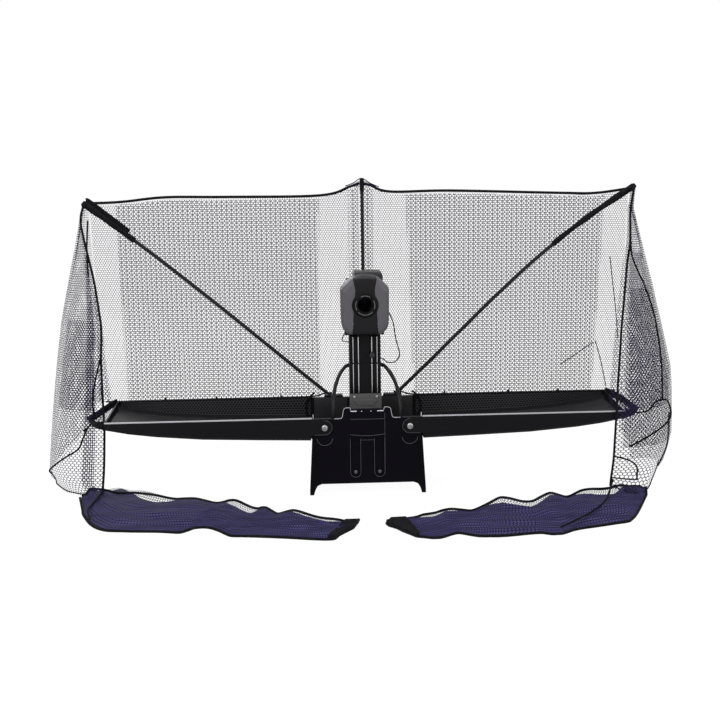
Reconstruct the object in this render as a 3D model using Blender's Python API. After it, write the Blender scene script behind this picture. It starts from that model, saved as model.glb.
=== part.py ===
"""Ball-throwing robot for table tennis, with folding ball troughs and a catch net.

Metres, +Z up.  The origin is on the floor under the middle of the base.  The user
stands in front of the machine, on the -Y side, and the nets hang behind it at +Y.
SIDES holds -1 for the troughs, poles and nets at -X and +1 for those at +X.
"""

import math

import bmesh
import bpy
from mathutils import Matrix, Vector

# ---------------------------------------------------------------- shared sizes
SIDES = {"left": -1, "right": 1}
FIT = 0.0003            # gap left between pieces that touch on the real object
SKIN = 0.003            # moulded plastic wall

# Front panel and the tub behind it
PANEL_FRONT = -0.118
PANEL_BACK = -0.106
PANEL_EDGE_Z = 0.033
PANEL_TOP_Z = 0.2245
PANEL_LIP_Z = 0.248
PANEL_BUMP_Z = 0.256
PANEL_HALF_FOOT = 0.167
PANEL_HALF_TOP = 0.155
SLOT_X = 0.0345
SLOT_HALF = 0.0147
SLOT_TOP_Z = 0.168
SLOT_BOLT_Z = 0.066
SLOT_DEEP = 0.005

TUB_FRONT = PANEL_BACK + 0.0005
TUB_BACK = 0.1275
TUB_HALF = 0.1535
TUB_BOTTOM_Z = 0.040
TUB_FLOOR_Z = 0.117
TUB_SIDE_Z = 0.160
TUB_BACK_Z = 0.232
LEG_X = 0.140

# Wings
PIVOT_X = 0.1215
PIVOT_Z = 0.201
LUG_R = 0.022
CHEEK_R = 0.0520
TROUGH_INNER_R = 0.0545
WING_FRONT = -0.1225
WING_BACK = 0.1255
WING_LIP_Z = 0.2262
WING_BACK_Z = 0.2345
WING_TIP_X = 0.742
WING_FLOOR = ((0.0995, 0.161), (0.30, 0.167), (0.467, 0.173), (0.60, 0.184), (0.673, 0.1935), (0.742, 0.207))
LIP_THICK = 0.004
BOLT_R = 0.0084
SHANK_R = 0.004

# Tower
TOWER_Y = -0.002
TOWER_HALF = 0.0455
TOWER_FRONT = -0.030
TOWER_BACK = 0.026
TOWER_SEAM_Z = 0.367
TOWER_TOP_Z = 0.4467
TOWER_FOOT_Z = 0.190
CORE_R = 0.0255
BALL_BORE_R = 0.0213
CORE_TOP_Z = 0.430
RAIL_IN = 0.0240
RAIL_DEEP = 0.006
COVER_LOW_Z = 0.232
COVER_TOP_Z = 0.277
COVER_HALF = 0.0465
KNOB_X = 0.0197
KNOB_Z = 0.392
GUARD_R = 0.0047
LEDGE_Z = 0.205

# Head
YOKE_TOP_Z = 0.4525
YOKE_R = 0.028
ARM_IN = 0.052
ARM_OUT = 0.057
TILT_Y = TOWER_Y
TILT_Z = 0.535
NOZZLE_Z = 0.5436
NOZZLE_R = 0.0215
FACE_FRONT = -0.084
FACE_BACK = -0.020
BODY_BACK = 0.060
BODY_HALF = 0.0495
BODY_LOW_Z = 0.482
BODY_TOP_Z = 0.604
BOX_TOP_Z = 0.628
BOX_X = 0.0115            # the box sits this far to one side of the head
WHEEL_X = 0.0397
WHEEL_Y = -0.046
WHEEL_R = 0.0215
WHEEL_TALL = 0.026
SHELF_LOW_Z = 0.5660
SHELF_TOP_Z = 0.5705
SHIELD = ((0.0, 0.6255), (0.018, 0.6245), (0.0350, 0.6205), (0.0530, 0.6050), (0.0660, 0.5915),
          (0.0692, 0.5840), (0.0692, 0.5680), (0.0685, 0.5150), (0.0675, 0.4900), (0.0650, 0.4775),
          (0.0585, 0.4670), (0.0400, 0.4570), (0.0, 0.4545))

# Feed
DISC_Y = 0.045
DISC_R = 0.075
DISC_TOP_Z = 0.1485
POCKET_RING = 0.047
POCKETS = 5

# Poles, mast and nets
POLE_Y = 0.142
POLE_R = 0.0055
MAST_R = 0.005
MAST_X = 0.005
MAST_TOP_Z = 0.885
POLE_FOOT = (0.079, 0.215)
BRACKET_LOW_Z = 0.196
BRACKET_TOP_Z = 0.236
SOCKET_TOP_Z = 0.240
POLE_TIP = {"left": (-0.812, 0.827), "right": (0.818, 0.853)}
POLE_BOW = {"left": 0.011, "right": 0.0395}  # how far the pull of the net bows each pole
POLE_BEND = 1.4           # above one puts the bow nearer the tip
NET_Y = 0.1506
NET_THICK = 0.003
NET_LOW_Z = 0.2260
BINDING_TALL = 0.009
NET_COLUMNS = 9
NET_TOP = {
    "left": ((-0.800, 0.822), (-0.737, 0.823), (-0.686, 0.826), (-0.572, 0.836), (-0.398, 0.834),
             (-0.119, 0.834), (-0.029, 0.859), (-0.0015, 0.868)),
    "right": ((0.0015, 0.868), (0.030, 0.862), (0.089, 0.842), (0.268, 0.842), (0.597, 0.830),
              (0.703, 0.828), (0.805, 0.840)),
}
SIDE_TOP_Z = {"left": 0.800, "right": 0.822}
NET_HALF = 0.7855
NET_EDGE_X = {"left": ((0.0, NET_HALF), (NET_LOW_Z, NET_HALF), (0.817, 0.800)),
              "right": ((0.0, NET_HALF), (NET_LOW_Z, NET_HALF), (0.840, 0.805))}
SIDE_FRONT_Y = {"left": -0.055, "right": -0.100}
HALF_REACH = 0.935        # how far each side net bellies out at the floor
SIDE_OUTER_X = [(z, NET_HALF + (HALF_REACH - NET_HALF) * share) for z, share in
                ((0.0, 1.0), (0.16, 1.0), (0.33, 0.886), (0.48, 0.699), (0.62, 0.512), (0.83, 0.217))]
FLAP_FRONT = -0.490       # furthest point of the floor flaps toward the player
FLAP = {
    "left": ((0.798, -0.0565, FLAP_FRONT + 0.205), (0.615, -0.080, FLAP_FRONT + 0.104),
             (0.460, -0.150, FLAP_FRONT + 0.115), (0.300, -0.215, FLAP_FRONT + 0.050),
             (0.160, -0.305, FLAP_FRONT + 0.015), (0.050, -0.350, FLAP_FRONT + 0.028)),
    "right": ((0.798, -0.1015, FLAP_FRONT + 0.160), (0.600, -0.130, FLAP_FRONT + 0.045),
              (0.450, -0.200, FLAP_FRONT + 0.010), (0.300, -0.262, FLAP_FRONT),
              (0.160, -0.300, FLAP_FRONT + 0.020), (0.045, -0.350, FLAP_FRONT + 0.050)),
}

# The origin is the middle of the whole footprint, so the machine stands this far back
FOOTPRINT_Y = 0.1684


# ---------------------------------------------------------------- finishes
FINISHES = {
    "black_plastic": ((0.012, 0.012, 0.015), 0.42, 0.0),
    "grey_plastic": ((0.10, 0.10, 0.11), 0.40, 0.0),
    "soft_plastic": ((0.03, 0.03, 0.034), 0.60, 0.0),
    "rubber": ((0.02, 0.02, 0.02), 0.85, 0.0),
    "tube_paint": ((0.015, 0.015, 0.016), 0.35, 0.0),
    "aluminium": ((0.45, 0.45, 0.46), 0.35, 1.0),
    "bright_steel": ((0.62, 0.62, 0.63), 0.25, 1.0),
    "net_thread": ((0.05, 0.05, 0.11), 0.80, 0.0),
    "webbing": ((0.015, 0.015, 0.018), 0.75, 0.0),
}


def finish(item, kind):
    """Give one piece its own material of the named kind."""
    colour, rough, metal = FINISHES[kind]
    material = bpy.data.materials.new(item.name + "_" + kind)
    material.use_nodes = True
    shader = material.node_tree.nodes["Principled BSDF"]
    shader.inputs["Base Color"].default_value = (colour[0], colour[1], colour[2], 1.0)
    shader.inputs["Roughness"].default_value = rough
    shader.inputs["Metallic"].default_value = metal
    item.data.materials.clear()
    item.data.materials.append(material)
    return item


# ---------------------------------------------------------------- solid helpers
def place(name, shape):
    """Turn a bmesh into an object in the scene."""
    bmesh.ops.recalc_face_normals(shape, faces=shape.faces)
    data = bpy.data.meshes.new(name)
    shape.to_mesh(data)
    shape.free()
    item = bpy.data.objects.new(name, data)
    bpy.context.scene.collection.objects.link(item)
    return item


def loft(name, rings):
    """Solid through rings of equal length, closed by a face at each end."""
    shape = bmesh.new()
    rows = [[shape.verts.new(point) for point in ring] for ring in rings]
    shape.faces.new(rows[0])
    shape.faces.new(list(reversed(rows[-1])))
    count = len(rows[0])
    for low, high in zip(rows, rows[1:]):
        for i in range(count):
            j = (i + 1) % count
            shape.faces.new((low[i], low[j], high[j], high[i]))
    return place(name, shape)


def prism_y(name, outline, near, far):
    """Front-view outline (x, z) carried from one depth to another."""
    return loft(name, [[(x, y, z) for x, z in outline] for y in (near, far)])


def prism_z(name, outline, low, high):
    """Plan outline (x, y) carried from one height to another."""
    return loft(name, [[(x, y, z) for x, y in outline] for z in (low, high)])


def block(name, x, y, z, soften=0.0):
    """Rectangular block between pairs of limits, with its edges softened."""
    shape = bmesh.new()
    bmesh.ops.create_cube(shape, size=1.0)
    size = Vector((x[1] - x[0], y[1] - y[0], z[1] - z[0]))
    middle = Vector((x[1] + x[0], y[1] + y[0], z[1] + z[0])) / 2
    bmesh.ops.scale(shape, vec=size, verts=shape.verts)
    bmesh.ops.translate(shape, vec=middle, verts=shape.verts)
    if soften:
        bmesh.ops.bevel(shape, geom=shape.edges[:], offset=soften, segments=2, affect="EDGES", profile=0.7)
    return place(name, shape)


def circle(radius, count, start=0.0):
    """Points round a circle about the origin."""
    turns = [start + math.tau * i / count for i in range(count)]
    return [(radius * math.cos(turn), radius * math.sin(turn)) for turn in turns]


def drum(name, middle, axis, radius, low, high, count=24, soften=0.0):
    """Cylinder on a point, its axis x, y or z, between two distances along that axis."""
    steps = [(low, radius), (high, radius)]
    if soften:
        steps = [(low, radius - soften), (low + soften, radius), (high - soften, radius), (high, radius - soften)]
    rings = []
    for along, size in steps:
        if axis == "x":
            rings.append([(along, middle[1] + a, middle[2] + b) for a, b in circle(size, count)])
        elif axis == "y":
            rings.append([(middle[0] + a, along, middle[2] + b) for a, b in circle(size, count)])
        else:
            rings.append([(middle[0] + a, middle[1] + b, along) for a, b in circle(size, count)])
    return loft(name, rings)


def pipe(name, start, end, inner, outer, count=16):
    """Open tube between two points."""
    start = Vector(start)
    axis = Vector(end) - start
    turn = Vector((0.0, 0.0, 1.0)).rotation_difference(axis).to_matrix()
    shape = bmesh.new()
    walls = []
    for radius, along in ((outer, 0.0), (outer, axis.length), (inner, axis.length), (inner, 0.0)):
        ring = [turn @ Vector((a, b, along)) + start for a, b in circle(radius, count)]
        walls.append([shape.verts.new(point) for point in ring])
    for i, low in enumerate(walls):
        high = walls[(i + 1) % 4]
        for k in range(count):
            n = (k + 1) % count
            shape.faces.new((low[k], low[n], high[n], high[k]))
    return place(name, shape)


def smooth_path(points, steps):
    """Rounded path through a few points."""
    points = [Vector(point) for point in points]
    path = []
    for i in range(len(points) - 1):
        before = points[max(i - 1, 0)]
        after = points[min(i + 2, len(points) - 1)]
        here, there = points[i], points[i + 1]
        for k in range(steps):
            t = k / steps
            pull = (there - before) * 0.5
            push = (after - here) * 0.5
            path.append(here * (2 * t**3 - 3 * t**2 + 1) + pull * (t**3 - 2 * t**2 + t)
                        + there * (3 * t**2 - 2 * t**3) + push * (t**3 - t**2))
    path.append(points[-1])
    return path


def rod(name, path, radius, sides=2):
    """Round bar or cord along a path, with closed ends."""
    curve = bpy.data.curves.new(name, "CURVE")
    curve.dimensions = "3D"
    curve.bevel_depth = radius
    curve.bevel_resolution = sides
    curve.use_fill_caps = True
    spline = curve.splines.new("POLY")
    spline.points.add(len(path) - 1)
    for target, point in zip(spline.points, path):
        target.co = (point[0], point[1], point[2], 1.0)
    item = bpy.data.objects.new(name, curve)
    bpy.context.scene.collection.objects.link(item)
    return item


def solid(item):
    """Mesh solid in place of a bar made from a curve."""
    name = item.name
    view = bpy.context.evaluated_depsgraph_get()
    data = bpy.data.meshes.new_from_object(item.evaluated_get(view))
    bpy.data.objects.remove(item, do_unlink=True)
    item = bpy.data.objects.new(name, data)
    bpy.context.scene.collection.objects.link(item)
    return item


def combine(item, other, how):
    """Cut, join or keep the common part of two solids and use up the second one."""
    step = item.modifiers.new(how, "BOOLEAN")
    step.operation = how
    step.solver = "EXACT"
    step.object = other
    view = bpy.context.evaluated_depsgraph_get()
    result = bpy.data.meshes.new_from_object(item.evaluated_get(view))
    item.modifiers.clear()
    item.data = result
    bpy.data.objects.remove(other, do_unlink=True)
    return item


def cut(item, other):
    return combine(item, other, "DIFFERENCE")


def fuse(item, other):
    return combine(item, other, "UNION")


def common(item, other):
    return combine(item, other, "INTERSECT")


def between(points, at):
    """Height of a broken line at one x."""
    for (x0, z0), (x1, z1) in zip(points, points[1:]):
        if x0 <= at <= x1:
            return z0 + (z1 - z0) * (at - x0) / (x1 - x0)
    nearest = points[0] if at < points[0][0] else points[-1]
    return nearest[1]


# ---------------------------------------------------------------- base
def front_panel():
    """Black front plate: two foot horns, two long recesses under a cross bar, pivot holes."""
    half = [(0.0, PANEL_LIP_Z), (0.047, PANEL_LIP_Z), (0.0485, PANEL_BUMP_Z - 0.001), (0.051, PANEL_BUMP_Z),
            (0.060, PANEL_BUMP_Z), (0.065, PANEL_BUMP_Z - 0.004), (0.069, PANEL_TOP_Z + 0.006),
            (0.075, PANEL_TOP_Z), (PANEL_HALF_TOP, PANEL_TOP_Z), (0.1575, 0.172),
            (PANEL_HALF_FOOT, 0.012), (PANEL_HALF_FOOT, 0.0), (0.156, 0.0),
            (0.150, 0.018), (0.144, 0.028), (0.132, PANEL_EDGE_Z), (0.0, PANEL_EDGE_Z)]
    outline = half + [(-x, z) for x, z in reversed(half[1:-1])]
    panel = prism_y("front_panel", outline, PANEL_FRONT, PANEL_BACK)
    floor = PANEL_FRONT + SLOT_DEEP
    for side in SIDES.values():
        middle = side * SLOT_X
        low = SLOT_BOLT_Z
        bend = [(middle + a, low + b) for a, b in circle(SLOT_HALF, 16, math.pi) if b < 0.0001]
        slot = bend + [(middle + SLOT_HALF, SLOT_TOP_Z), (middle - SLOT_HALF, SLOT_TOP_Z)]
        cut(panel, prism_y("slot", slot, PANEL_FRONT - 0.01, floor))
        fuse(panel, drum("bolt", (middle, 0.0, low), "y", 0.0045, floor - 0.003, floor + 0.002, 16, 0.0008))
        hole = (side * PIVOT_X, 0.0, PIVOT_Z)
        cut(panel, drum("hole", hole, "y", SHANK_R + FIT, PANEL_FRONT - 0.01, PANEL_BACK + 0.01, 16))
    top = [(0.050 * t / 6, SLOT_TOP_Z + 0.0065 + 0.0045 * (t / 6) ** 2) for t in range(-6, 7)]
    low = [(x * 0.95, z - 0.006) for x, z in reversed(top)]
    fuse(panel, prism_y("cross_bar", top + low, PANEL_FRONT - 0.002, PANEL_FRONT + 0.004))
    return finish(panel, "black_plastic")


def hopper_tub():
    """Open tub that the balls roll into, its round cheeks inside the trough ends."""
    outline = []
    for side in (1, -1):
        arc = []
        for i in range(13):
            turn = math.radians(-50 + 120 * i / 12)
            x = PIVOT_X + CHEEK_R * math.cos(turn)
            z = PIVOT_Z + CHEEK_R * math.sin(turn)
            if z < TUB_BACK_Z and x > TUB_HALF:
                arc.append((x, z))
        rise = [(TUB_HALF, TUB_BOTTOM_Z), (TUB_HALF, arc[0][1] - 0.001)] + arc + [(arc[-1][0] - 0.002, TUB_BACK_Z)]
        if side < 0:
            rise = [(-x, z) for x, z in reversed(rise)]
        outline += rise
    tub = prism_y("hopper_tub", outline, TUB_FRONT, TUB_BACK)
    inside = (-TUB_HALF + SKIN, TUB_HALF - SKIN)
    depth = (TUB_FRONT + SKIN, TUB_BACK - SKIN)
    cut(tub, block("room", inside, depth, (TUB_FLOOR_Z, 0.3)))
    cut(tub, block("room", inside, depth, (0.0, TUB_FLOOR_Z - SKIN)))
    cut(tub, block("mouths", (-0.25, 0.25), depth, (TUB_SIDE_Z, 0.3)))
    cut(tub, block("trim", (-0.25, 0.25), (TUB_FRONT - 0.01, 0.0), (PANEL_TOP_Z, 0.3)))
    for side in SIDES.values():
        hole = (side * PIVOT_X, 0.0, PIVOT_Z)
        cut(tub, drum("hole", hole, "y", BOLT_R, TUB_FRONT - 0.01, TUB_FRONT + 0.01, 16))
        foot = sorted((side * (LEG_X - 0.010), side * (TUB_HALF - 0.0005)))
        fuse(tub, block("leg", foot, (0.100, TUB_BACK - 0.0005), (0.0, TUB_BOTTOM_Z + 0.02)))
        ledge = sorted((side * 0.086, side * 0.105))
        fuse(tub, block("ledge", ledge, (TUB_FRONT + 0.001, -0.088), (LEDGE_Z - 0.012, LEDGE_Z)))
    cut(tub, drum("shaft_hole", (0.0, DISC_Y, 0.0), "z", 0.0042, TUB_FLOOR_Z - 0.01, TUB_FLOOR_Z + 0.01, 16))
    return finish(tub, "black_plastic")


def feed_motor():
    """Drive under the tub's floor that turns the feed disc."""
    motor = drum("feed_motor", (0.0, DISC_Y, 0.0), "z", 0.026, 0.062, TUB_FLOOR_Z - SKIN - FIT, 24, 0.002)
    finish(motor, "soft_plastic")


def feed_disc():
    """Turning disc with ball pockets, its shaft standing on the feed motor."""
    disc = drum("feed_disc", (0.0, 0.0, 0.0), "z", DISC_R, 0.0, DISC_TOP_Z - TUB_FLOOR_Z - 0.0015, 40, 0.002)
    for x, y in circle(POCKET_RING, POCKETS, -math.pi / 2):
        cut(disc, drum("pocket", (x, y, 0.0), "z", BALL_BORE_R + 0.0012, -0.05, 0.05, 14))
    fuse(disc, drum("shaft", (0.0, 0.0, 0.0), "z", 0.0035, -0.0015 - SKIN, 0.010, 12))
    disc.location = (0.0, DISC_Y, TUB_FLOOR_Z + 0.0015)
    return finish(disc, "grey_plastic")


# ---------------------------------------------------------------- tower
def rail_outline(side):
    """Plan section of one grooved rail on the front of the tower."""
    edge = TOWER_HALF - 0.0003
    groove = 0.0062
    front = TOWER_FRONT - RAIL_DEEP - FIT
    back = TOWER_FRONT - FIT
    floor = front + 0.0042
    points = [(RAIL_IN, back), (RAIL_IN, front), (RAIL_IN + groove, front), (RAIL_IN + groove, floor),
              (edge - groove, floor), (edge - groove, front), (edge, front), (edge, back)]
    return [(side * x, y) for x, y in points]


def tower_section(name, low, high):
    """Dark tower block with the round bore for the inner tube."""
    body = block(name, (-TOWER_HALF, TOWER_HALF), (TOWER_FRONT, TOWER_BACK), (low, high), 0.0015)
    return body


def bore(item, low, high):
    return cut(item, drum("bore", (0.0, TOWER_Y, 0.0), "z", CORE_R + FIT, low, high, 32))


def tower():
    """Fixed lower section, ball tube, sliding upper section and their light rails."""
    lower = tower_section("tower_lower", TOWER_FOOT_Z, TOWER_SEAM_Z - FIT)
    foot = block("foot", (-0.044, 0.044), (TUB_FRONT + SKIN + FIT, TOWER_FRONT + 0.01), (0.197, 0.231), 0.001)
    fuse(lower, foot)
    finish(bore(lower, 0.0, 0.6), "black_plastic")
    tube = pipe("tower_core", (0.0, TOWER_Y, TOWER_FOOT_Z), (0.0, TOWER_Y, CORE_TOP_Z), BALL_BORE_R, CORE_R, 32)
    finish(tube, "soft_plastic")
    upper = tower_section("tower_upper", TOWER_SEAM_Z + FIT, TOWER_TOP_Z)
    bore(upper, 0.0, 0.6)
    shank = (KNOB_X, 0.0, KNOB_Z)
    cut(upper, drum("thread", shank, "y", 0.0028, TOWER_FRONT - 0.01, TOWER_FRONT + 0.0045, 12))
    finish(upper, "black_plastic")
    for name, side in SIDES.items():
        plan = rail_outline(side)
        low = prism_z("rail_lower_" + name, plan, COVER_TOP_Z + 0.0005, TOWER_SEAM_Z - FIT)
        finish(low, "aluminium")
        high = prism_z("rail_upper_" + name, plan, TOWER_SEAM_Z + FIT, TOWER_TOP_Z - 0.0005)
        finish(high, "aluminium")
    knob = drum("height_knob", (0.0, 0.0, 0.0), "y", 0.0078, -0.0125, 0.0, 20, 0.0015)
    fuse(knob, drum("shank", (0.0, 0.0, 0.0), "y", 0.0025, -0.004, 0.0104, 12))
    knob.location = (KNOB_X, TOWER_FRONT - RAIL_DEEP - 2 * FIT, KNOB_Z)
    finish(knob, "black_plastic")


def cover_plate():
    """Grey plate at the tower's foot with a raised field and two bright bolts."""
    low, high = COVER_LOW_Z, COVER_TOP_Z
    front = TOWER_FRONT - 0.0040
    plate = block("cover_plate", (-COVER_HALF, COVER_HALF), (front, TOWER_FRONT - FIT), (low, high), 0.0012)
    rings = []
    for depth, inset in ((front + 0.001, 0.0), (front - 0.002, 0.002)):
        rings.append([(-0.036 + inset, depth, high - 0.017 - inset), (0.036 - inset, depth, high - 0.017 - inset),
                      (0.024 - inset, depth, low + 0.008 + inset), (-0.024 + inset, depth, low + 0.008 + inset)])
    fuse(plate, loft("field", rings))
    finish(plate, "grey_plastic")
    for name, side in SIDES.items():
        middle = (side * 0.0325, 0.0, high - 0.009)
        bolt = drum("cover_bolt_" + name, middle, "y", 0.0036, front - 0.0028, front - FIT, 16, 0.0008)
        finish(bolt, "bright_steel")


def guard_rods():
    """Two bent rods from the tower's sides down to ledges behind the panel."""
    bends = ((0.058, -0.008, 0.352), (0.074, -0.026, 0.334), (0.087, -0.055, 0.308),
             (0.0935, -0.080, 0.278), (0.0955, -0.095, 0.248), (0.0955, -0.0965, 0.230))
    for name, side in SIDES.items():
        start = Vector((side * (TOWER_HALF + FIT), -0.004, 0.356))
        stub = start + Vector((side * 0.004, 0.0, 0.0))
        path = smooth_path([stub] + [(side * x, y, z) for x, y, z in bends], 3)
        path = [start] + path + [Vector((side * 0.0955, -0.0965, LEDGE_Z + FIT))]
        finish(rod("guard_rod_" + name, path, GUARD_R, 2), "tube_paint")


# ---------------------------------------------------------------- wings
def trough(name, side):
    """Folding trough: long tapering tub with a lug that laps the front panel."""
    outer = []
    inner = []
    for x, low in WING_FLOOR:
        outer.append([(side * x, WING_FRONT, WING_LIP_Z), (side * x, WING_FRONT, low + 0.006),
                      (side * x, WING_FRONT + 0.006, low), (side * x, WING_BACK - 0.020, low),
                      (side * x, WING_BACK, low + 0.012), (side * x, WING_BACK, WING_BACK_Z)])
        low = low + SKIN
        x = x - 0.02 if x < PIVOT_X else min(x, WING_TIP_X - SKIN)
        front = WING_FRONT + SKIN
        back = WING_BACK - SKIN
        inner.append([(side * x, front, 0.27), (side * x, front, low + 0.0055),
                      (side * x, front + 0.0055, low), (side * x, back - 0.0195, low),
                      (side * x, back, low + 0.0115), (side * x, back, 0.27)])
    wing = loft("trough_" + name, outer)
    cut(wing, loft("cavity", inner))
    arc = [math.radians(-90 + 180 * i / 16) for i in range(17)]
    gap = [(PIVOT_X + TROUGH_INNER_R * math.cos(a), PIVOT_Z + TROUGH_INNER_R * math.sin(a)) for a in arc]
    gap = [(0.06, gap[0][1])] + gap + [(0.06, gap[-1][1])]
    gap = [(side * x, z) for x, z in gap]
    cut(wing, prism_y("inner_end", gap, WING_FRONT + SKIN, WING_BACK + 0.02))
    arc = [math.radians(270 - 90 * i / 8) for i in range(9)]
    under = [(PIVOT_X + LUG_R * math.cos(a), PIVOT_Z + LUG_R * math.sin(a)) for a in arc]
    under = [(0.06, 0.14), (0.166, 0.14), (0.158, PIVOT_Z - LUG_R)] + under + [(0.06, PIVOT_Z)]
    under = [(side * x, z) for x, z in under]
    cut(wing, prism_y("under_lug", under, WING_FRONT - 0.02, WING_FRONT + SKIN + 0.001))
    arc = [math.radians(180 - 90 * i / 8) for i in range(9)]
    over = [(PIVOT_X + LUG_R * math.cos(a), PIVOT_Z + LUG_R * math.sin(a)) for a in arc]
    over = [(0.06, PIVOT_Z)] + over + [(0.150, PIVOT_Z + LUG_R), (0.156, 0.25), (0.06, 0.25)]
    over = [(side * x, z) for x, z in over]
    cut(wing, prism_y("over_lug", over, WING_FRONT - 0.02, WING_FRONT + SKIN + 0.001))
    hole = (side * PIVOT_X, 0.0, PIVOT_Z)
    cut(wing, drum("hole", hole, "y", SHANK_R + FIT, WING_FRONT - 0.01, WING_FRONT + 0.02, 16))
    finish(wing, "black_plastic")
    return wing


def wings():
    """Both troughs with their light lips and pivot bolts."""
    for name, side in SIDES.items():
        trough(name, side)
        span = sorted((side * 0.157, side * (WING_TIP_X - 0.001)))
        depth = (WING_FRONT - 0.0008, WING_FRONT + 0.0038)
        lip = block("lip_" + name, span, depth, (WING_LIP_Z + 0.0006, WING_LIP_Z + LIP_THICK), 0.0008)
        finish(lip, "grey_plastic")
        middle = (side * PIVOT_X, 0.0, PIVOT_Z)
        bolt = drum("pivot_bolt_" + name, middle, "y", BOLT_R, WING_FRONT - 0.006, WING_FRONT - FIT, 24, 0.0015)
        fuse(bolt, drum("shank", middle, "y", SHANK_R, WING_FRONT - 0.003, PANEL_BACK + 0.003, 16))
        finish(bolt, "bright_steel")


# ---------------------------------------------------------------- head
def yoke():
    """Turning fork that carries the head, with the ball bore through its plate."""
    fork = drum("yoke", (0.0, 0.0, 0.0), "z", YOKE_R, FIT, YOKE_TOP_Z - TOWER_TOP_Z, 32)
    bar = block("bar", (-ARM_OUT, ARM_OUT), (-0.012, 0.012), (FIT, YOKE_TOP_Z - TOWER_TOP_Z))
    fuse(fork, bar)
    for side in SIDES.values():
        span = sorted((side * ARM_IN, side * ARM_OUT))
        arm = block("arm", span, (-0.012, 0.012), (0.001, TILT_Z - TOWER_TOP_Z + 0.012))
        fuse(fork, arm)
        hole = (0.0, 0.0, TILT_Z - TOWER_TOP_Z)
        ends = sorted((side * (ARM_IN - 0.01), side * (ARM_OUT + 0.01)))
        cut(fork, drum("hole", hole, "x", 0.0043, ends[0], ends[1], 16))
    cut(fork, drum("bore", (0.0, 0.0, 0.0), "z", BALL_BORE_R, -0.01, 0.02, 32))
    fork.location = (0.0, TOWER_Y, TOWER_TOP_Z)
    return finish(fork, "soft_plastic")


def shield_ring(scale, depth, shift):
    """Outline of the face at one depth, drawn in toward the nozzle."""
    half = [(x, z) for x, z in SHIELD]
    full = half + [(-x, z) for x, z in reversed(half[1:-1])]
    return [(x * scale, depth, NOZZLE_Z + (z - NOZZLE_Z) * scale + shift) for x, z in full]


def face_shell(name):
    """Hollow domed front of the head, open at the back."""
    steps = ((1.0, FACE_BACK), (1.0, -0.060), (0.965, -0.073), (0.90, -0.081), (0.80, FACE_FRONT))
    shell = loft(name, [shield_ring(scale, depth, 0.0) for scale, depth in steps])
    inner = ((0.955, FACE_BACK + 0.02), (0.955, -0.058), (0.92, -0.070), (0.855, -0.078), (0.76, FACE_FRONT + SKIN))
    cut(shell, loft("hollow", [shield_ring(scale, depth, 0.0) for scale, depth in inner]))
    cut(shell, block("clear", (-0.1, 0.1), (-0.044, 0.05), (0.40, 0.4795)))
    return shell


def stripe_outline(grow):
    """Dark middle stripe of the face, swelling round the nozzle."""
    edge = [(0.0375 + grow, 0.43), (0.0373 + grow, 0.4545), (0.0361 + grow, 0.4745), (0.0338 + grow, 0.506)]
    radius, low, high = 0.0378 + grow, math.radians(-29.0), math.radians(40.0)
    for i in range(13):
        turn = low + (high - low) * i / 12
        edge.append((radius * math.cos(turn), NOZZLE_Z + radius * math.sin(turn)))
    edge += [(0.0271 + grow, 0.587), (0.0322 + grow, 0.6105), (0.0347 + grow, 0.6253), (0.0347 + grow, 0.66)]
    return edge + [(-x, z) for x, z in reversed(edge)]


def head_front():
    """Grey shells, dark stripe and the ring round the nozzle."""
    for name, side in SIDES.items():
        shell = face_shell("head_shell_" + name)
        cut(shell, prism_y("stripe", stripe_outline(FIT), -0.12, 0.05))
        other = sorted((-side * 0.2, 0.0))
        cut(shell, block("half", other, (-0.2, 0.1), (0.3, 0.8)))
        finish(shell, "grey_plastic")
    stripe = face_shell("face_stripe")
    common(stripe, prism_y("stripe", stripe_outline(0.0), -0.12, 0.05))
    cut(stripe, drum("nozzle", (0.0, 0.0, NOZZLE_Z), "y", NOZZLE_R, -0.12, -0.05, 32))
    finish(stripe, "black_plastic")
    ring = pipe("nozzle_ring", (0.0, FACE_FRONT - FIT, NOZZLE_Z), (0.0, FACE_FRONT - 0.0035, NOZZLE_Z),
                NOZZLE_R + 0.002, 0.0305, 32)
    for i in range(3):
        turn = math.tau * (i + 0.25) / 3
        notch = block("notch", (0.018, 0.040), (FACE_FRONT - 0.006, FACE_FRONT - 0.0022), (-0.0015, 0.0015))
        notch.data.transform(Matrix.Rotation(turn, 4, "Y"))
        notch.data.transform(Matrix.Translation((0.0, 0.0, NOZZLE_Z)))
        cut(ring, notch)
    finish(ring, "grey_plastic")


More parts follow.
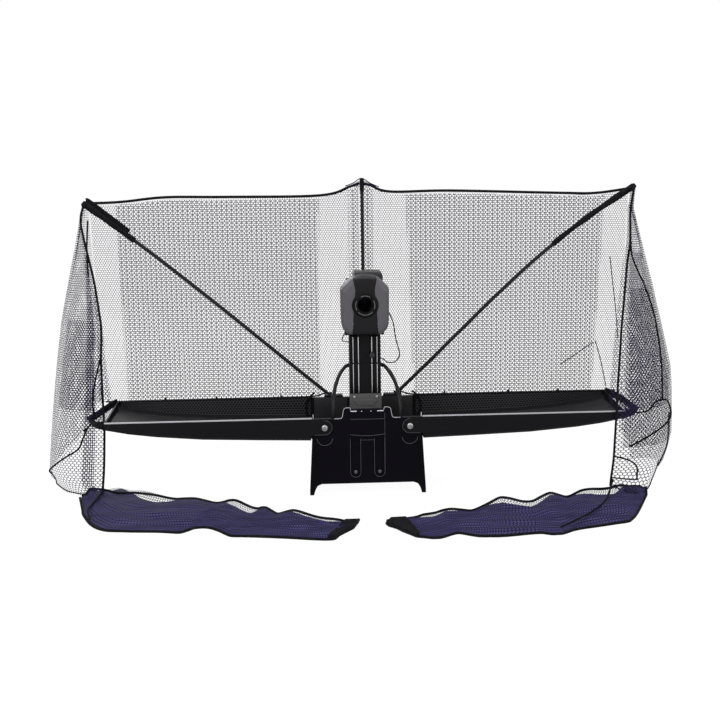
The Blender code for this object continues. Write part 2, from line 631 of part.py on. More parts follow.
def head_rear():
    """Rear housing with the bent ball bore, its lid, motors, wheels and tilt pins."""
    body = block("head_body", (-BODY_HALF, BODY_HALF), (FACE_BACK + FIT, BODY_BACK), (BODY_LOW_Z, BODY_TOP_Z), 0.003)
    shelf = block("shelf", (-0.048, 0.048), (-0.068, FACE_BACK + 0.01), (SHELF_LOW_Z, SHELF_TOP_Z))
    fuse(body, shelf)
    flange = [(x * 0.985, z) for x, z in SHIELD if z > 0.58] + [(0.0670, 0.575), (0.0655, 0.562)]
    flange += [(-x, z) for x, z in reversed(flange[1:])]
    flange = [(x, min(z, SHIELD[0][1] - 0.001)) for x, z in flange]
    fuse(body, prism_y("flange", flange, FACE_BACK + FIT, FACE_BACK + 0.0032))
    cut(body, drum("rise", (0.0, TOWER_Y, 0.0), "z", NOZZLE_R, 0.44, NOZZLE_Z, 32))
    cut(body, drum("exit", (0.0, 0.0, NOZZLE_Z), "y", NOZZLE_R, -0.06, TOWER_Y + 0.012, 32))
    for side in SIDES.values():
        hole = (0.0, TILT_Y, TILT_Z)
        ends = sorted((side * (BODY_HALF - 0.008), side * (BODY_HALF + 0.01)))
        cut(body, drum("hole", hole, "x", 0.0043, ends[0], ends[1], 16))
    finish(body, "black_plastic")
    rings = []
    for half, near, far, z in ((0.0437, -0.0165, 0.050, BODY_TOP_Z + FIT), (0.0415, -0.0150, 0.048, BOX_TOP_Z - 0.006),
                               (0.0370, -0.0110, 0.043, BOX_TOP_Z)):
        rings.append([(BOX_X - half, near, z), (BOX_X + half, near, z), (BOX_X + half, far, z), (BOX_X - half, far, z)])
    box = loft("top_box", rings)
    finish(box, "soft_plastic")
    for name, side in SIDES.items():
        middle = (side * WHEEL_X, WHEEL_Y, 0.0)
        motor = drum("wheel_motor_" + name, middle, "z", 0.0125, SHELF_TOP_Z + FIT, 0.594, 20, 0.001)
        finish(motor, "bright_steel")
        tall = WHEEL_TALL / 2
        wheel = drum("throw_wheel_" + name, (0.0, 0.0, 0.0), "z", WHEEL_R, -tall, tall, 32, 0.002)
        fuse(wheel, drum("axle", (0.0, 0.0, 0.0), "z", 0.0025, 0.0, SHELF_LOW_Z - FIT - NOZZLE_Z, 12))
        wheel.location = (side * WHEEL_X, WHEEL_Y, NOZZLE_Z)
        finish(wheel, "rubber")
        ends = sorted((side * (BODY_HALF - 0.0075), side * (ARM_OUT + 0.001)))
        pin = drum("tilt_pin_" + name, (0.0, TILT_Y, TILT_Z), "x", 0.004, ends[0], ends[1], 16)
        finish(pin, "bright_steel")


# ---------------------------------------------------------------- poles and mast
def pole_path(name, side):
    """Points along a net pole, which the net's pull bows upwards; its last stretch is straight."""
    foot_x, foot_z = POLE_FOOT
    tip_x, tip_z = POLE_TIP[name]
    path = []
    for share in [k / 20 for k in range(19)] + [1.0]:
        rise = POLE_BOW[name] * math.sin(math.pi * share ** POLE_BEND)
        path.append(Vector((side * foot_x + (tip_x - side * foot_x) * share, POLE_Y,
                            foot_z + (tip_z - foot_z) * share + rise)))
    return path


def poles():
    """Net poles, mast and the brackets on the back of the tub."""
    for name, side in SIDES.items():
        path = pole_path(name, side)
        tip = path[-1]
        along = (tip - path[-2]).normalized()
        finish(rod("pole_" + name, path, POLE_R, 3), "tube_paint")
        span = sorted((side * 0.062, side * 0.118))
        bracket = block("pole_bracket_" + name, span, (TUB_BACK + FIT, NET_Y - 0.0006),
                        (BRACKET_LOW_Z, BRACKET_TOP_Z), 0.001)
        for x in (0.068, 0.110):
            screw = drum("screw", (side * x, 0.139, 0.0), "z", 0.0035, BRACKET_TOP_Z - 0.005,
                         BRACKET_TOP_Z + 0.0025, 12)
            fuse(bracket, screw)
        low = path[0] - (path[1] - path[0]).normalized() * FIT
        cut(bracket, solid(rod("bore", [low] + path[1:], POLE_R + FIT, 3)))
        finish(bracket, "black_plastic")
        pocket = solid(rod("pole_pocket_" + name, [tip - along * 0.062, tip + along * 0.005], 0.0080, 3))
        cut(pocket, solid(rod("bore", [tip - along * 0.09, tip + along * FIT], POLE_R + FIT, 3)))
        finish(pocket, "webbing")
    base = (MAST_X, POLE_Y, 0.216)
    socket = block("mast_socket", (MAST_X - 0.016, MAST_X + 0.016), (TUB_BACK + FIT, NET_Y - 0.0006),
                   (BRACKET_LOW_Z, SOCKET_TOP_Z), 0.001)
    cut(socket, drum("bore", base, "z", MAST_R + FIT, base[2] - FIT, 0.3, 16))
    finish(socket, "black_plastic")
    mast = drum("mast", base, "z", MAST_R, base[2], MAST_TOP_Z, 14)
    finish(mast, "tube_paint")


# ---------------------------------------------------------------- nets
def net_panel(name, spot, columns, rows, near, thread=0.30):
    """Flat net with one gap per cell; spot(u, v) gives x and z across the net."""
    shape = bmesh.new()
    far = near + NET_THICK
    corner = {}
    for i in range(columns + 1):
        for j in range(rows + 1):
            x, z = spot(i / columns, j / rows)
            corner[i, j] = [shape.verts.new((x, y, z)) for y in (near, far)]
    for i in range(columns):
        for j in range(rows):
            ring = [corner[i, j], corner[i + 1, j], corner[i + 1, j + 1], corner[i, j + 1]]
            middle = sum((pair[0].co for pair in ring), Vector()) / 4
            hole = []
            for pair in ring:
                point = middle.lerp(pair[0].co, 1.0 - thread)
                hole.append([shape.verts.new((point.x, y, point.z)) for y in (near, far)])
            for k in range(4):
                n = (k + 1) % 4
                shape.faces.new((ring[k][0], ring[n][0], hole[n][0], hole[k][0]))
                shape.faces.new((hole[k][1], hole[n][1], ring[n][1], ring[k][1]))
                shape.faces.new((hole[k][0], hole[n][0], hole[n][1], hole[k][1]))
    rim = [(i, 0) for i in range(columns)] + [(columns, j) for j in range(rows)]
    rim += [(i, rows) for i in range(columns, 0, -1)] + [(0, j) for j in range(rows, 0, -1)]
    for k, key in enumerate(rim):
        a, b = corner[key], corner[rim[(k + 1) % len(rim)]]
        shape.faces.new((a[1], b[1], b[0], a[0]))
    return place(name, shape)


def hanging(name, near_low, near_top, far_low, far_top, drop):
    """Map from across-and-up to x and z for a net hung under the top binding."""
    line = NET_TOP[name]

    def spot(u, v):
        low = near_low + (far_low - near_low) * u
        high = near_top + (far_top - near_top) * u
        x = low + (high - low) * v
        top = between(line, high) - drop
        return x, NET_LOW_Z + (top - NET_LOW_Z) * v

    return spot


def binding(name, spot):
    """Black woven edge along the top of the net, on the net's own top corners."""
    rings = []
    for i in range(NET_COLUMNS + 1):
        x, z = spot(i / NET_COLUMNS, 1.0)
        low, high = z + FIT, z + BINDING_TALL
        rings.append([(x, NET_Y, low), (x, NET_Y + 0.011, low), (x, NET_Y + 0.011, high), (x, NET_Y, high)])
    return finish(loft("top_binding_" + name, rings), "webbing")


def back_nets():
    """Main nets with the looser second layer of each half, and the hems that clip to the troughs."""
    edge = {name: (NET_EDGE_X[name][1][1], NET_EDGE_X[name][2][1]) for name in SIDES}
    main = {"left": hanging("left", -edge["left"][0], -edge["left"][1], -0.0015, -0.0015, 0.0),
            "right": hanging("right", 0.0015, 0.0015, edge["right"][0], edge["right"][1], 0.0)}
    loose = {"left": hanging("left", -0.718, -0.722, -0.127, -0.122, 0.004),
             "right": hanging("right", 0.155, 0.133, 0.710, 0.735, 0.004)}
    for name, side in SIDES.items():
        finish(net_panel("back_net_" + name, main[name], NET_COLUMNS, 6, NET_Y), "net_thread")
        finish(net_panel("loose_net_" + name, loose[name], 6, 5, NET_Y + NET_THICK + FIT), "net_thread")
        binding(name, main[name])
    for name, side in SIDES.items():
        span = sorted((side * 0.125, side * 0.780))
        hem = block("net_hem_" + name, span, (NET_Y - 0.0035, NET_Y - FIT), (NET_LOW_Z - 0.002, NET_LOW_Z + 0.003),
                    0.0008)
        for x in (0.250, 0.446, 0.600):
            width = sorted((side * (x - 0.004), side * (x + 0.004)))
            tall = (NET_LOW_Z - 0.0025, NET_LOW_Z + 0.004)
            fuse(hem, block("clip", width, (WING_BACK + FIT, NET_Y - 0.001), tall))
        finish(hem, "webbing")


def sheet(name, spot, columns, rows, thick):
    """Closed cloth of even thickness; spot(u, v) gives a point of its middle surface."""
    shape = bmesh.new()
    grid = {}
    for i in range(columns + 1):
        for j in range(rows + 1):
            u, v = i / columns, j / rows
            here = Vector(spot(u, v))
            step = 0.004
            du = Vector(spot(min(u + step, 1), v)) - Vector(spot(max(u - step, 0), v))
            dv = Vector(spot(u, min(v + step, 1))) - Vector(spot(u, max(v - step, 0)))
            normal = du.cross(dv).normalized() * (thick / 2)
            grid[i, j] = [shape.verts.new(here + normal), shape.verts.new(here - normal)]
    for i in range(columns):
        for j in range(rows):
            ring = [grid[i, j], grid[i + 1, j], grid[i + 1, j + 1], grid[i, j + 1]]
            shape.faces.new([pair[0] for pair in ring])
            shape.faces.new([pair[1] for pair in reversed(ring)])
    rim = [(i, 0) for i in range(columns)] + [(columns, j) for j in range(rows)]
    rim += [(i, rows) for i in range(columns, 0, -1)] + [(0, j) for j in range(rows, 0, -1)]
    for k, key in enumerate(rim):
        a, b = grid[key], grid[rim[(k + 1) % len(rim)]]
        shape.faces.new((a[1], b[1], b[0], a[0]))
    return place(name, shape)


def side_net(name, side):
    """Half-open bag that hangs from the pole's tip to the floor beside the trough."""
    top = SIDE_TOP_Z[name]
    front = SIDE_FRONT_Y[name]

    def spot(u, v):
        height = 0.0015 + (top - 0.0015) * v
        open_y = front + (0.120 - front) * v**1.3
        inner = between(NET_EDGE_X[name], height) + 0.0006
        back_y = NET_Y + NET_THICK / 2
        out = between(SIDE_OUTER_X, height)
        turn = math.pi * (u - 0.5)
        middle_y = (back_y + open_y) / 2
        reach = (back_y - open_y) / 2
        fold = 0.006 * math.sin(9 * u + 5 * v) * (1 - v) * math.sin(math.pi * u)
        x = inner + (out - inner) * math.cos(turn) ** 0.8 + fold if 0 < u < 1 else inner
        return side * x, middle_y - reach * math.sin(turn), height

    return finish(sheet("side_net_" + name, spot, 14, 11, 0.003), "net_thread")


def floor_flap(name, side):
    """Spare lower part of the side net, lying on the floor toward the middle."""
    stations = FLAP[name]

    def spot(u, v):
        place_at = u * (len(stations) - 1)
        k = min(int(place_at), len(stations) - 2)
        t = place_at - k
        x, back, front = (a + (b - a) * t for a, b in zip(stations[k], stations[k + 1]))
        wave = math.sin(15 * u + 1.3 * side) * math.sin(math.pi * v) * 0.5 + 0.5
        height = 0.0018 + 0.020 * wave * math.sin(math.pi * v) * math.sin(math.pi * min(u + 0.12, 1))
        edge = 0.010 * math.sin(18 * u) * math.sin(math.pi * u)
        return side * x, front + (back - front) * v + edge, height

    return finish(sheet("floor_flap_" + name, spot, 18, 6, 0.003), "net_thread")


def net_straps():
    """Webbing straps that hook the side nets to the trough ends."""
    for name, side in SIDES.items():
        span = sorted((side * (WING_TIP_X + FIT), side * 0.788))
        strap = block("end_strap_" + name, span, (-0.113, -0.107), (0.208, 0.246), 0.001)
        finish(strap, "webbing")


# ---------------------------------------------------------------- cords
def cords():
    """Thin cable and short lead between the turning fork and the sliding tower."""
    y = TOWER_Y
    bends = [(ARM_OUT + FIT, y, 0.516), (0.0660, y, 0.5155), (0.0765, y - 0.004, 0.500), (0.0840, y - 0.010, 0.478),
             (0.0895, y - 0.014, 0.440), (0.0985, y - 0.016, 0.402), (0.0975, y - 0.015, 0.386),
             (0.0850, y - 0.012, 0.372), (0.0660, y - 0.009, 0.370), (0.0550, y - 0.008, 0.3795),
             (TOWER_HALF + FIT, y - 0.008, 0.3810)]
    finish(rod("head_cable", smooth_path(bends, 2), 0.00175, 2), "rubber")
    bends = [(-ARM_OUT - FIT, y, 0.4495), (-0.0625, y, 0.4470), (-0.0675, y - 0.002, 0.432),
             (-0.0630, y - 0.002, 0.4185), (-0.0540, y - 0.002, 0.4135), (-TOWER_HALF - FIT, y - 0.002, 0.4130)]
    finish(rod("short_lead", smooth_path(bends, 2), 0.0014, 2), "rubber")


# ---------------------------------------------------------------- build
for old in list(bpy.data.objects):
    bpy.data.objects.remove(old, do_unlink=True)

front_panel()
hopper_tub()
feed_motor()
feed_disc()
tower()
cover_plate()
guard_rods()
wings()
yoke()
head_front()
head_rear()
poles()
back_nets()
for side_name, side_sign in SIDES.items():
    side_net(side_name, side_sign)
    floor_flap(side_name, side_sign)
net_straps()
cords()
for piece in bpy.data.objects:
    piece.location.y += FOOTPRINT_Y
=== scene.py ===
import math

import bmesh
import bpy
import numpy as np
from mathutils import Matrix, Vector


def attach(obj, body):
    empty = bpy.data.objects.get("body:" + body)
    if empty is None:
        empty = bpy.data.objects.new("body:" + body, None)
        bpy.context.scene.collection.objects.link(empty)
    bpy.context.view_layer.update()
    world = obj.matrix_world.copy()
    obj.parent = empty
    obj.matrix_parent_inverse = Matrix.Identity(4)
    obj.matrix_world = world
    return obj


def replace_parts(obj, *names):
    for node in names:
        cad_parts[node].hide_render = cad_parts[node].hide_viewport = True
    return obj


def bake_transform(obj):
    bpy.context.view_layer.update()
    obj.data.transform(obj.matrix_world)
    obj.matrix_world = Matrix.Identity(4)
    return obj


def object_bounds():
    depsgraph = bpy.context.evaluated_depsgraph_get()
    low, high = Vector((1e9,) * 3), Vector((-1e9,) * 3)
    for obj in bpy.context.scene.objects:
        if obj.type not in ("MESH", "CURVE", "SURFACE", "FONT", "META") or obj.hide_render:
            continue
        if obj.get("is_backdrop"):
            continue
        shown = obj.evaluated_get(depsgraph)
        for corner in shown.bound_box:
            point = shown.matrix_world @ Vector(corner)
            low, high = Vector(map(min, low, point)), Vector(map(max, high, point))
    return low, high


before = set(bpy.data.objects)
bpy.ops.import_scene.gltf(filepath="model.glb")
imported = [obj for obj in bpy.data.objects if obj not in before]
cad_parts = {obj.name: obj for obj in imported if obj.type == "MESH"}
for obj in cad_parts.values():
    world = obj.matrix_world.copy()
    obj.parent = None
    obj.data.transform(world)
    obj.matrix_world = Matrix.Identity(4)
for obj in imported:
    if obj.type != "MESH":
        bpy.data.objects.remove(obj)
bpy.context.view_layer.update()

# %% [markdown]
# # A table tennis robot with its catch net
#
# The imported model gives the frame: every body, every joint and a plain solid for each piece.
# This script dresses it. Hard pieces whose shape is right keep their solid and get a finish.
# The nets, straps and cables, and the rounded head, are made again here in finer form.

SIDES = {"left": -1, "right": 1}
# sizes below are from the machine's own middle, which stands this far back
STAND_BACK = 0.1684

# %% [markdown]
# ## Camera
#
# The photograph was taken from a little left of the machine's middle, from just above the top
# of the net, looking slightly down. A camera in Blender looks along its own minus Z axis, so the
# matrix below is written from three directions: right, up and back.

# %% Camera
LENS_PIXELS = 1156.0  # focal length in pixels of a picture 720 wide
CAMERA_AT = Vector((-0.15, -3.3 + STAND_BACK, 1.042))
yaw, pitch, roll = (math.radians(a) for a in (2.37, 11.5, 0.8))
ahead = Vector((math.sin(yaw) * math.cos(pitch), math.cos(yaw) * math.cos(pitch), -math.sin(pitch)))
level = Vector((math.cos(yaw), -math.sin(yaw), 0.0))
upward = level.cross(ahead)
right = level * math.cos(roll) - upward * math.sin(roll)
upward = level * math.sin(roll) + upward * math.cos(roll)
camera = bpy.data.objects.new("camera", bpy.data.cameras.new("camera"))
bpy.context.scene.collection.objects.link(camera)
camera.data.sensor_width = 36.0
camera.data.lens = LENS_PIXELS / 720.0 * camera.data.sensor_width
camera.data.clip_start, camera.data.clip_end = 0.05, 60.0
turned = Matrix((right, upward, -ahead)).transposed().to_4x4()
camera.matrix_world = Matrix.Translation(CAMERA_AT) @ turned
bpy.context.scene.camera = camera
print("camera lens", round(camera.data.lens, 1), "mm")

# %% [markdown]
# ## Writing finishes as sums
#
# A finish in Blender is a graph of nodes. Wiring each node by hand hides the idea, so one
# small class stands for a node's output and turns Python's own arithmetic into Math nodes.
# Colours are mixed with Mix nodes, because a Math node would turn them grey.


# %% Values that add their own nodes
class Value:
    """The output of a node, on which sums can be written."""

    def __init__(self, finish, socket):
        self.finish, self.socket = finish, socket

    def sum(self, operation, first, second=0.0):
        return self.finish.node("ShaderNodeMath", {"operation": operation}, {0: first, 1: second})

    def __add__(self, other):
        return self.sum("ADD", self, other)

    def __radd__(self, other):
        return self.sum("ADD", other, self)

    def __sub__(self, other):
        return self.sum("SUBTRACT", self, other)

    def __rsub__(self, other):
        return self.sum("SUBTRACT", other, self)

    def __mul__(self, other):
        return self.sum("MULTIPLY", self, other)

    def __rmul__(self, other):
        return self.sum("MULTIPLY", other, self)

    def larger(self, other):
        return self.sum("MAXIMUM", self, other)

    def sine(self):
        return self.sum("SINE", self)


class Finish:
    """One material, built node by node."""

    def __init__(self, name):
        self.material = bpy.data.materials.new(name)
        self.material.use_nodes = True
        self.tree = self.material.node_tree
        self.tree.nodes.clear()
        self.end = self.tree.nodes.new("ShaderNodeOutputMaterial")

    def node(self, kind, settings=None, sockets=None, out=0):
        made = self.tree.nodes.new(kind)
        for name, value in (settings or {}).items():
            setattr(made, name, value)
        for name, value in (sockets or {}).items():
            if isinstance(value, Value):
                self.tree.links.new(value.socket, made.inputs[name])
            else:
                made.inputs[name].default_value = value
        return Value(self, made.outputs[out])

    def place(self):
        return self.node("ShaderNodeTexCoord", out="Object")

    def axes(self):
        split = self.node("ShaderNodeSeparateXYZ", None, {0: self.place()})
        outs = split.socket.node.outputs
        return [Value(self, outs[i]) for i in range(3)]

    def noise(self, scale, detail, rough, at=None):
        sockets = {"Scale": scale, "Detail": detail, "Roughness": rough}
        sockets["Vector"] = at or self.place()
        return self.node("ShaderNodeTexNoise", None, sockets, out="Fac")

    def blend(self, share, first, second):
        """A colour between two colours."""
        made = self.node("ShaderNodeMix", {"data_type": "RGBA"}, out=2)
        inputs = made.socket.node.inputs
        for index, value in ((0, share), (6, first), (7, second)):
            if isinstance(value, Value):
                self.tree.links.new(value.socket, inputs[index])
            else:
                inputs[index].default_value = value if index == 0 else (*value, 1.0)
        return made

    def bump(self, height, depth, strength):
        sockets = {"Height": height, "Distance": depth, "Strength": strength}
        return self.node("ShaderNodeBump", None, sockets)

    def surface(self, **sockets):
        """Close the material with a Principled shader; underscores stand for spaces."""
        names = {name.replace("_", " "): value for name, value in sockets.items()}
        shader = self.node("ShaderNodeBsdfPrincipled", None, names)
        self.tree.links.new(shader.socket, self.end.inputs["Surface"])
        return self.material


print("finishes are written with", Value.__name__, "and", Finish.__name__)

# %% [markdown]
# ## Moulded plastic
#
# Most of the robot is injection moulded. The mould is spark eroded, which leaves a fine even
# grain, and handling polishes it in places. So the grain goes into the bump and the handling
# into the roughness, and the colour only drifts by a few per cent.


# %% Plastics
def moulded(name, dark, light, rough, mirror=0.3):
    """Moulded plastic between two close shades; mirror is how much its skin reflects."""
    finish = Finish(name)
    drift = finish.noise(9.0, 4.0, 0.6)
    rubbed = finish.noise(38.0, 5.0, 0.65)
    pits = finish.noise(900.0, 2.0, 0.6)
    specks = finish.noise(210.0, 2.0, 0.5)
    return finish.surface(
        Base_Color=finish.blend(drift * 0.7 + specks * 0.3, dark, light),
        Roughness=rubbed * 0.16 + pits * 0.06 + (rough - 0.11),
        Normal=finish.bump(pits, 0.00012, 0.6), Specular_IOR_Level=mirror,
    )


black_plastic = moulded("satin_black_plastic", (0.004, 0.004, 0.005),
                        (0.0072, 0.007, 0.0084), 0.44, 0.06)
panel_plastic = moulded("black_panel_plastic", (0.0018, 0.0015, 0.003),
                        (0.0038, 0.0032, 0.0058), 0.38, 0.032)
tower_plastic = moulded("black_tower_plastic", (0.0034, 0.0034, 0.004),
                        (0.0062, 0.0062, 0.007), 0.38, 0.07)
grey_plastic = moulded("grey_plate_plastic", (0.066, 0.064, 0.066),
                       (0.092, 0.09, 0.092), 0.38, 0.25)
box_plastic = moulded("dark_grey_plastic", (0.022, 0.021, 0.023), (0.03, 0.029, 0.032), 0.48, 0.12)
pale_trim = moulded("pale_grey_trim", (0.5, 0.5, 0.52), (0.66, 0.66, 0.68), 0.42)
# pale grey standing for the light line along the front edges: painted highlight on the real lips,
# and on the panel's top bead, which is there only for it
lip_highlight_grey = moulded("painted_highlight_lip_grey", (0.27, 0.27, 0.29), (0.4, 0.4, 0.42), 0.38)
liner_grey = moulded("dark_liner_plastic", (0.016, 0.016, 0.017), (0.026, 0.026, 0.028), 0.4, 0.12)
ring_grey = moulded("dim_ring_grey", (0.11, 0.11, 0.115), (0.17, 0.17, 0.175), 0.36)
# grey of thin beads that are painted highlight along the panel's ridges, slots, creases, cross bar
# and lug edges; the slot bolts take the same grey as their own colour
highlight_and_bolt_grey = moulded("painted_highlight_and_bolt_grey", (0.04, 0.039, 0.042), (0.07, 0.069, 0.073), 0.36)
print("plastics:", black_plastic.name, grey_plastic.name, box_plastic.name)

# %% [markdown]
# ## Painted and bare metal
#
# The poles and guard rods are steel tubes with gloss black paint, which flows into a faint
# orange peel. The rails are brushed aluminium: the brush marks run up and down, so the noise
# is squeezed along Z. Screws are plated steel with turning marks.


# %% Metals
def painted_tube():
    finish = Finish("gloss_black_paint")
    peel = finish.noise(260.0, 2.0, 0.4)
    rubbed = finish.noise(24.0, 4.0, 0.6)
    return finish.surface(
        Base_Color=finish.blend(rubbed, (0.008, 0.008, 0.01), (0.018, 0.018, 0.02)),
        Roughness=rubbed * 0.18 + 0.16, Normal=finish.bump(peel, 0.00015, 0.4),
        Specular_IOR_Level=0.05, Coat_Weight=0.06, Coat_Roughness=0.16,
    )


def brushed(name, colour, rough, stretch):
    """Metal with brush marks; stretch is small along the marks."""
    finish = Finish(name)
    marks = finish.node("ShaderNodeMapping", None, {"Vector": finish.place(), "Scale": stretch})
    lines = finish.noise(620.0, 3.0, 0.6, marks)
    haze = finish.noise(30.0, 3.0, 0.6)
    darker = tuple(0.78 * c for c in colour)
    return finish.surface(
        Base_Color=finish.blend(haze * 0.6 + lines * 0.4, darker, colour), Metallic=1.0,
        Roughness=lines * 0.14 + haze * 0.1 + (rough - 0.12),
        Normal=finish.bump(lines, 0.00006, 0.5),
    )


tube_paint = painted_tube()
rail_metal = brushed("brushed_rail_aluminium", (0.6, 0.6, 0.62), 0.38, (1.0, 1.0, 0.02))
bright_steel = brushed("plated_screw_steel", (0.62, 0.62, 0.63), 0.3, (1.0, 0.1, 1.0))
bolt_steel = brushed("dull_bolt_steel", (0.3, 0.3, 0.31), 0.34, (1.0, 0.1, 1.0))
print("metals:", tube_paint.name, rail_metal.name, bright_steel.name)

# %% [markdown]
# ## Net thread, webbing and rubber
#
# The net is knitted from dark nylon. Each mesh is real geometry here, so its finish only has
# to give the thread's twist and the uneven dye. Webbing is a flat weave: two sine waves
# across each other give the raised picks.


# %% Textiles
def thread(name, dark, light):
    finish = Finish(name)
    dye = finish.noise(7.0, 3.0, 0.6)
    twist = finish.noise(1400.0, 1.0, 0.5)
    return finish.surface(
        Base_Color=finish.blend(dye * 0.6 + twist * 0.4, dark, light),
        Roughness=twist * 0.2 + 0.52, Normal=finish.bump(twist, 0.0002, 0.7),
        Specular_IOR_Level=0.08,
    )


def woven(name, dark, light, pitch, streaks=(90.0, 90.0, 90.0)):
    """Close weave whose picks are pitch apart; streaks sets how fast the dye changes each way."""
    finish = Finish(name)
    x, y, z = finish.axes()
    turns = math.tau / pitch
    picks = ((x + y * 0.5) * turns).sine() * ((z + y) * turns).sine()
    spread = finish.node("ShaderNodeMapping", None, {"Vector": finish.place(), "Scale": streaks})
    fuzz = finish.noise(1.0, 4.0, 0.6, spread)
    tone = picks * 0.15 + fuzz * 1.6 - 0.4
    return finish.surface(
        Base_Color=finish.blend(tone, dark, light), Roughness=fuzz * 0.16 + 0.7,
        Specular_IOR_Level=0.05, Normal=finish.bump(picks, pitch * 0.18, 0.7),
    )


net_black = thread("net_thread_black", (0.006, 0.005, 0.016), (0.017, 0.014, 0.044))
net_violet = thread("net_thread_violet", (0.008, 0.007, 0.02), (0.02, 0.016, 0.044))
net_dark = thread("net_thread_dark", (0.004, 0.004, 0.008), (0.012, 0.011, 0.022))
webbing = woven("black_webbing", (0.003, 0.003, 0.004), (0.012, 0.0118, 0.015), 0.0016)
floor_cloth = woven("violet_net_ground", (0.038, 0.034, 0.11), (0.125, 0.113, 0.32), 0.0034,
                    (5.0, 34.0, 8.0))
lining_grey = thread("trough_lining_thread", (0.03, 0.03, 0.032), (0.06, 0.06, 0.063))


def rubber_finish():
    finish = Finish("soft_black_rubber")
    bloom = finish.noise(55.0, 4.0, 0.6)
    skin = finish.noise(700.0, 2.0, 0.5)
    return finish.surface(
        Base_Color=finish.blend(bloom, (0.01, 0.01, 0.01), (0.026, 0.026, 0.026)),
        Roughness=bloom * 0.2 + 0.5, Normal=finish.bump(skin, 0.00008, 0.5),
        Specular_IOR_Level=0.15,
    )


rubber = rubber_finish()
print("textiles:", net_black.name, webbing.name, floor_cloth.name)

# %% [markdown]
# ## Making meshes
#
# Every piece below is a list of points and faces. These helpers turn such lists into an
# object, soften its round parts, and hand it to the body that it moves with.


# %% Helpers for meshes
def place(name, points, faces, material, body, slot, crease=35.0):
    """Make a mesh, shade its gentle edges smooth, and let it ride on a body."""
    mesh = bpy.data.meshes.new(name)
    points = np.asarray(points, float) + (0.0, STAND_BACK, 0.0)
    mesh.from_pydata(points.tolist(), [], faces.tolist() if hasattr(faces, "tolist") else faces)
    mesh.validate()
    mesh.materials.append(material)
    piece = bpy.data.objects.new(name, mesh)
    bpy.context.scene.collection.objects.link(piece)
    soften(mesh, crease)
    if body:
        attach(piece, body)
    return piece


def stand_in(name, made, material, body, node, crease=35.0):
    """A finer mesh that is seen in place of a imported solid."""
    piece = place(name, *made, material, body, node, crease)
    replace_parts(piece, node)
    return piece


def soften(mesh, crease):
    """Smooth shading, apart from edges that turn by more than crease degrees."""
    shape = bmesh.new()
    shape.from_mesh(mesh)
    if not any(len(edge.link_faces) == 1 for edge in shape.edges):
        bmesh.ops.recalc_face_normals(shape, faces=shape.faces)
    limit = math.radians(crease)
    for face in shape.faces:
        face.smooth = True
    for edge in shape.edges:
        edge.smooth = len(edge.link_faces) == 2 and edge.calc_face_angle(0.0) < limit
    shape.to_mesh(mesh)
    shape.free()


def metres(table):
    """The same nested table, from millimetres to metres."""
    if isinstance(table, dict):
        return {key: metres(part) for key, part in table.items()}
    return tuple(map(metres, table)) if isinstance(table, tuple) else table / 1000


def between(a, b, c, d, t):
    """Catmull-Rom curve: the point a share t of the way from b to c."""
    return 0.5 * ((2 * b) + (c - a) * t + (2 * a - 5 * b + 4 * c - d) * t * t
                  + (3 * b - a - 3 * c + d) * t**3)


def smooth_line(points, steps):
    """Points along a Catmull-Rom curve through the given points."""
    points = [Vector(p) for p in points]
    line = []
    for i in range(len(points) - 1):
        near = [points[max(0, min(len(points) - 1, i + k))] for k in (-1, 0, 1, 2)]
        line += [between(*near, s / steps) for s in range(steps)]
    return line + [points[-1]]


def length_of(line):
    return sum((b - a).length for a, b in zip(line, line[1:]))


def sweep(line, sections):
    """Carry flat sections along a line, turning them no more than the line turns."""
    line = [Vector(p) for p in line]
    rings = []
    along = (line[1] - line[0]).normalized()
    side = along.cross(Vector((0, 0, 1)))
    side = (side if side.length > 0.1 else along.cross(Vector((0, 1, 0)))).normalized()
    for i, point in enumerate(line):
        a, b = line[max(i - 1, 0)], line[min(i + 1, len(line) - 1)]
        along = (b - a).normalized()
        side = (side - along * side.dot(along)).normalized()
        over = side.cross(along)
        section = sections[i] if isinstance(sections[0], list) else sections
        rings.append([point + side * x + over * y for x, y in section])
    return loft(rings)


def disc(radius, count):
    turns = [math.tau * k / count for k in range(count)]
    return [(radius * math.cos(a), radius * math.sin(a)) for a in turns]


def rod(line, radius, count=8):
    """A round bar along a line."""
    return sweep(line, disc(radius, count))


def join(*parts):
    """Several lists of points and faces as one."""
    points, faces = [], []
    for more, their in parts:
        start = len(points)
        points += list(more)
        faces += [[i + start for i in face] for face in their]
    return points, faces


def block(x, y, z):
    points = [(a, b, c) for a in x for b in y for c in z]
    faces = [[0, 1, 3, 2], [4, 6, 7, 5], [0, 4, 5, 1], [2, 3, 7, 6], [0, 2, 6, 4], [1, 5, 7, 3]]
    return points, faces


def loft(rings):
    """Walls between rings of equally many points, with a cap at each end."""
    count = len(rings[0])
    points = [p for ring in rings for p in ring]
    faces = []
    for i in range(0, len(points) - count, count):
        for k in range(count):
            n = (k + 1) % count
            faces.append([i + k, i + n, i + count + n, i + count + k])
    faces.append(list(range(count - 1, -1, -1)))
    faces.append([len(points) - count + k for k in range(count)])
    return points, faces


def settle(piece, kind, **settings):
    """Add a modifier and make its result the mesh."""
    modifier = piece.modifiers.new(kind.lower(), kind)
    for name, value in settings.items():
        setattr(modifier, name, value)
    bpy.context.view_layer.update()
    seen = piece.evaluated_get(bpy.context.evaluated_depsgraph_get())
    mesh = bpy.data.meshes.new_from_object(seen)
    piece.modifiers.clear()
    old, piece.data = piece.data, mesh
    bpy.data.meshes.remove(old)


def round_edges(piece, width, angle, crease, body):
    """Round the edges that turn by more than angle degrees, then let the piece ride."""
    settle(piece, "BEVEL", width=width, segments=2, limit_method="ANGLE",
           angle_limit=math.radians(angle))
    soften(piece.data, crease)
    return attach(piece, body)


def shaped(name, made, material, body, slot, width, crease=35.0):
    """A hard piece with its edges rounded by width."""
    piece = place(name, *made, material, None, slot, crease)
    return round_edges(piece, width, 32, crease, body)


print("mesh helpers ready")
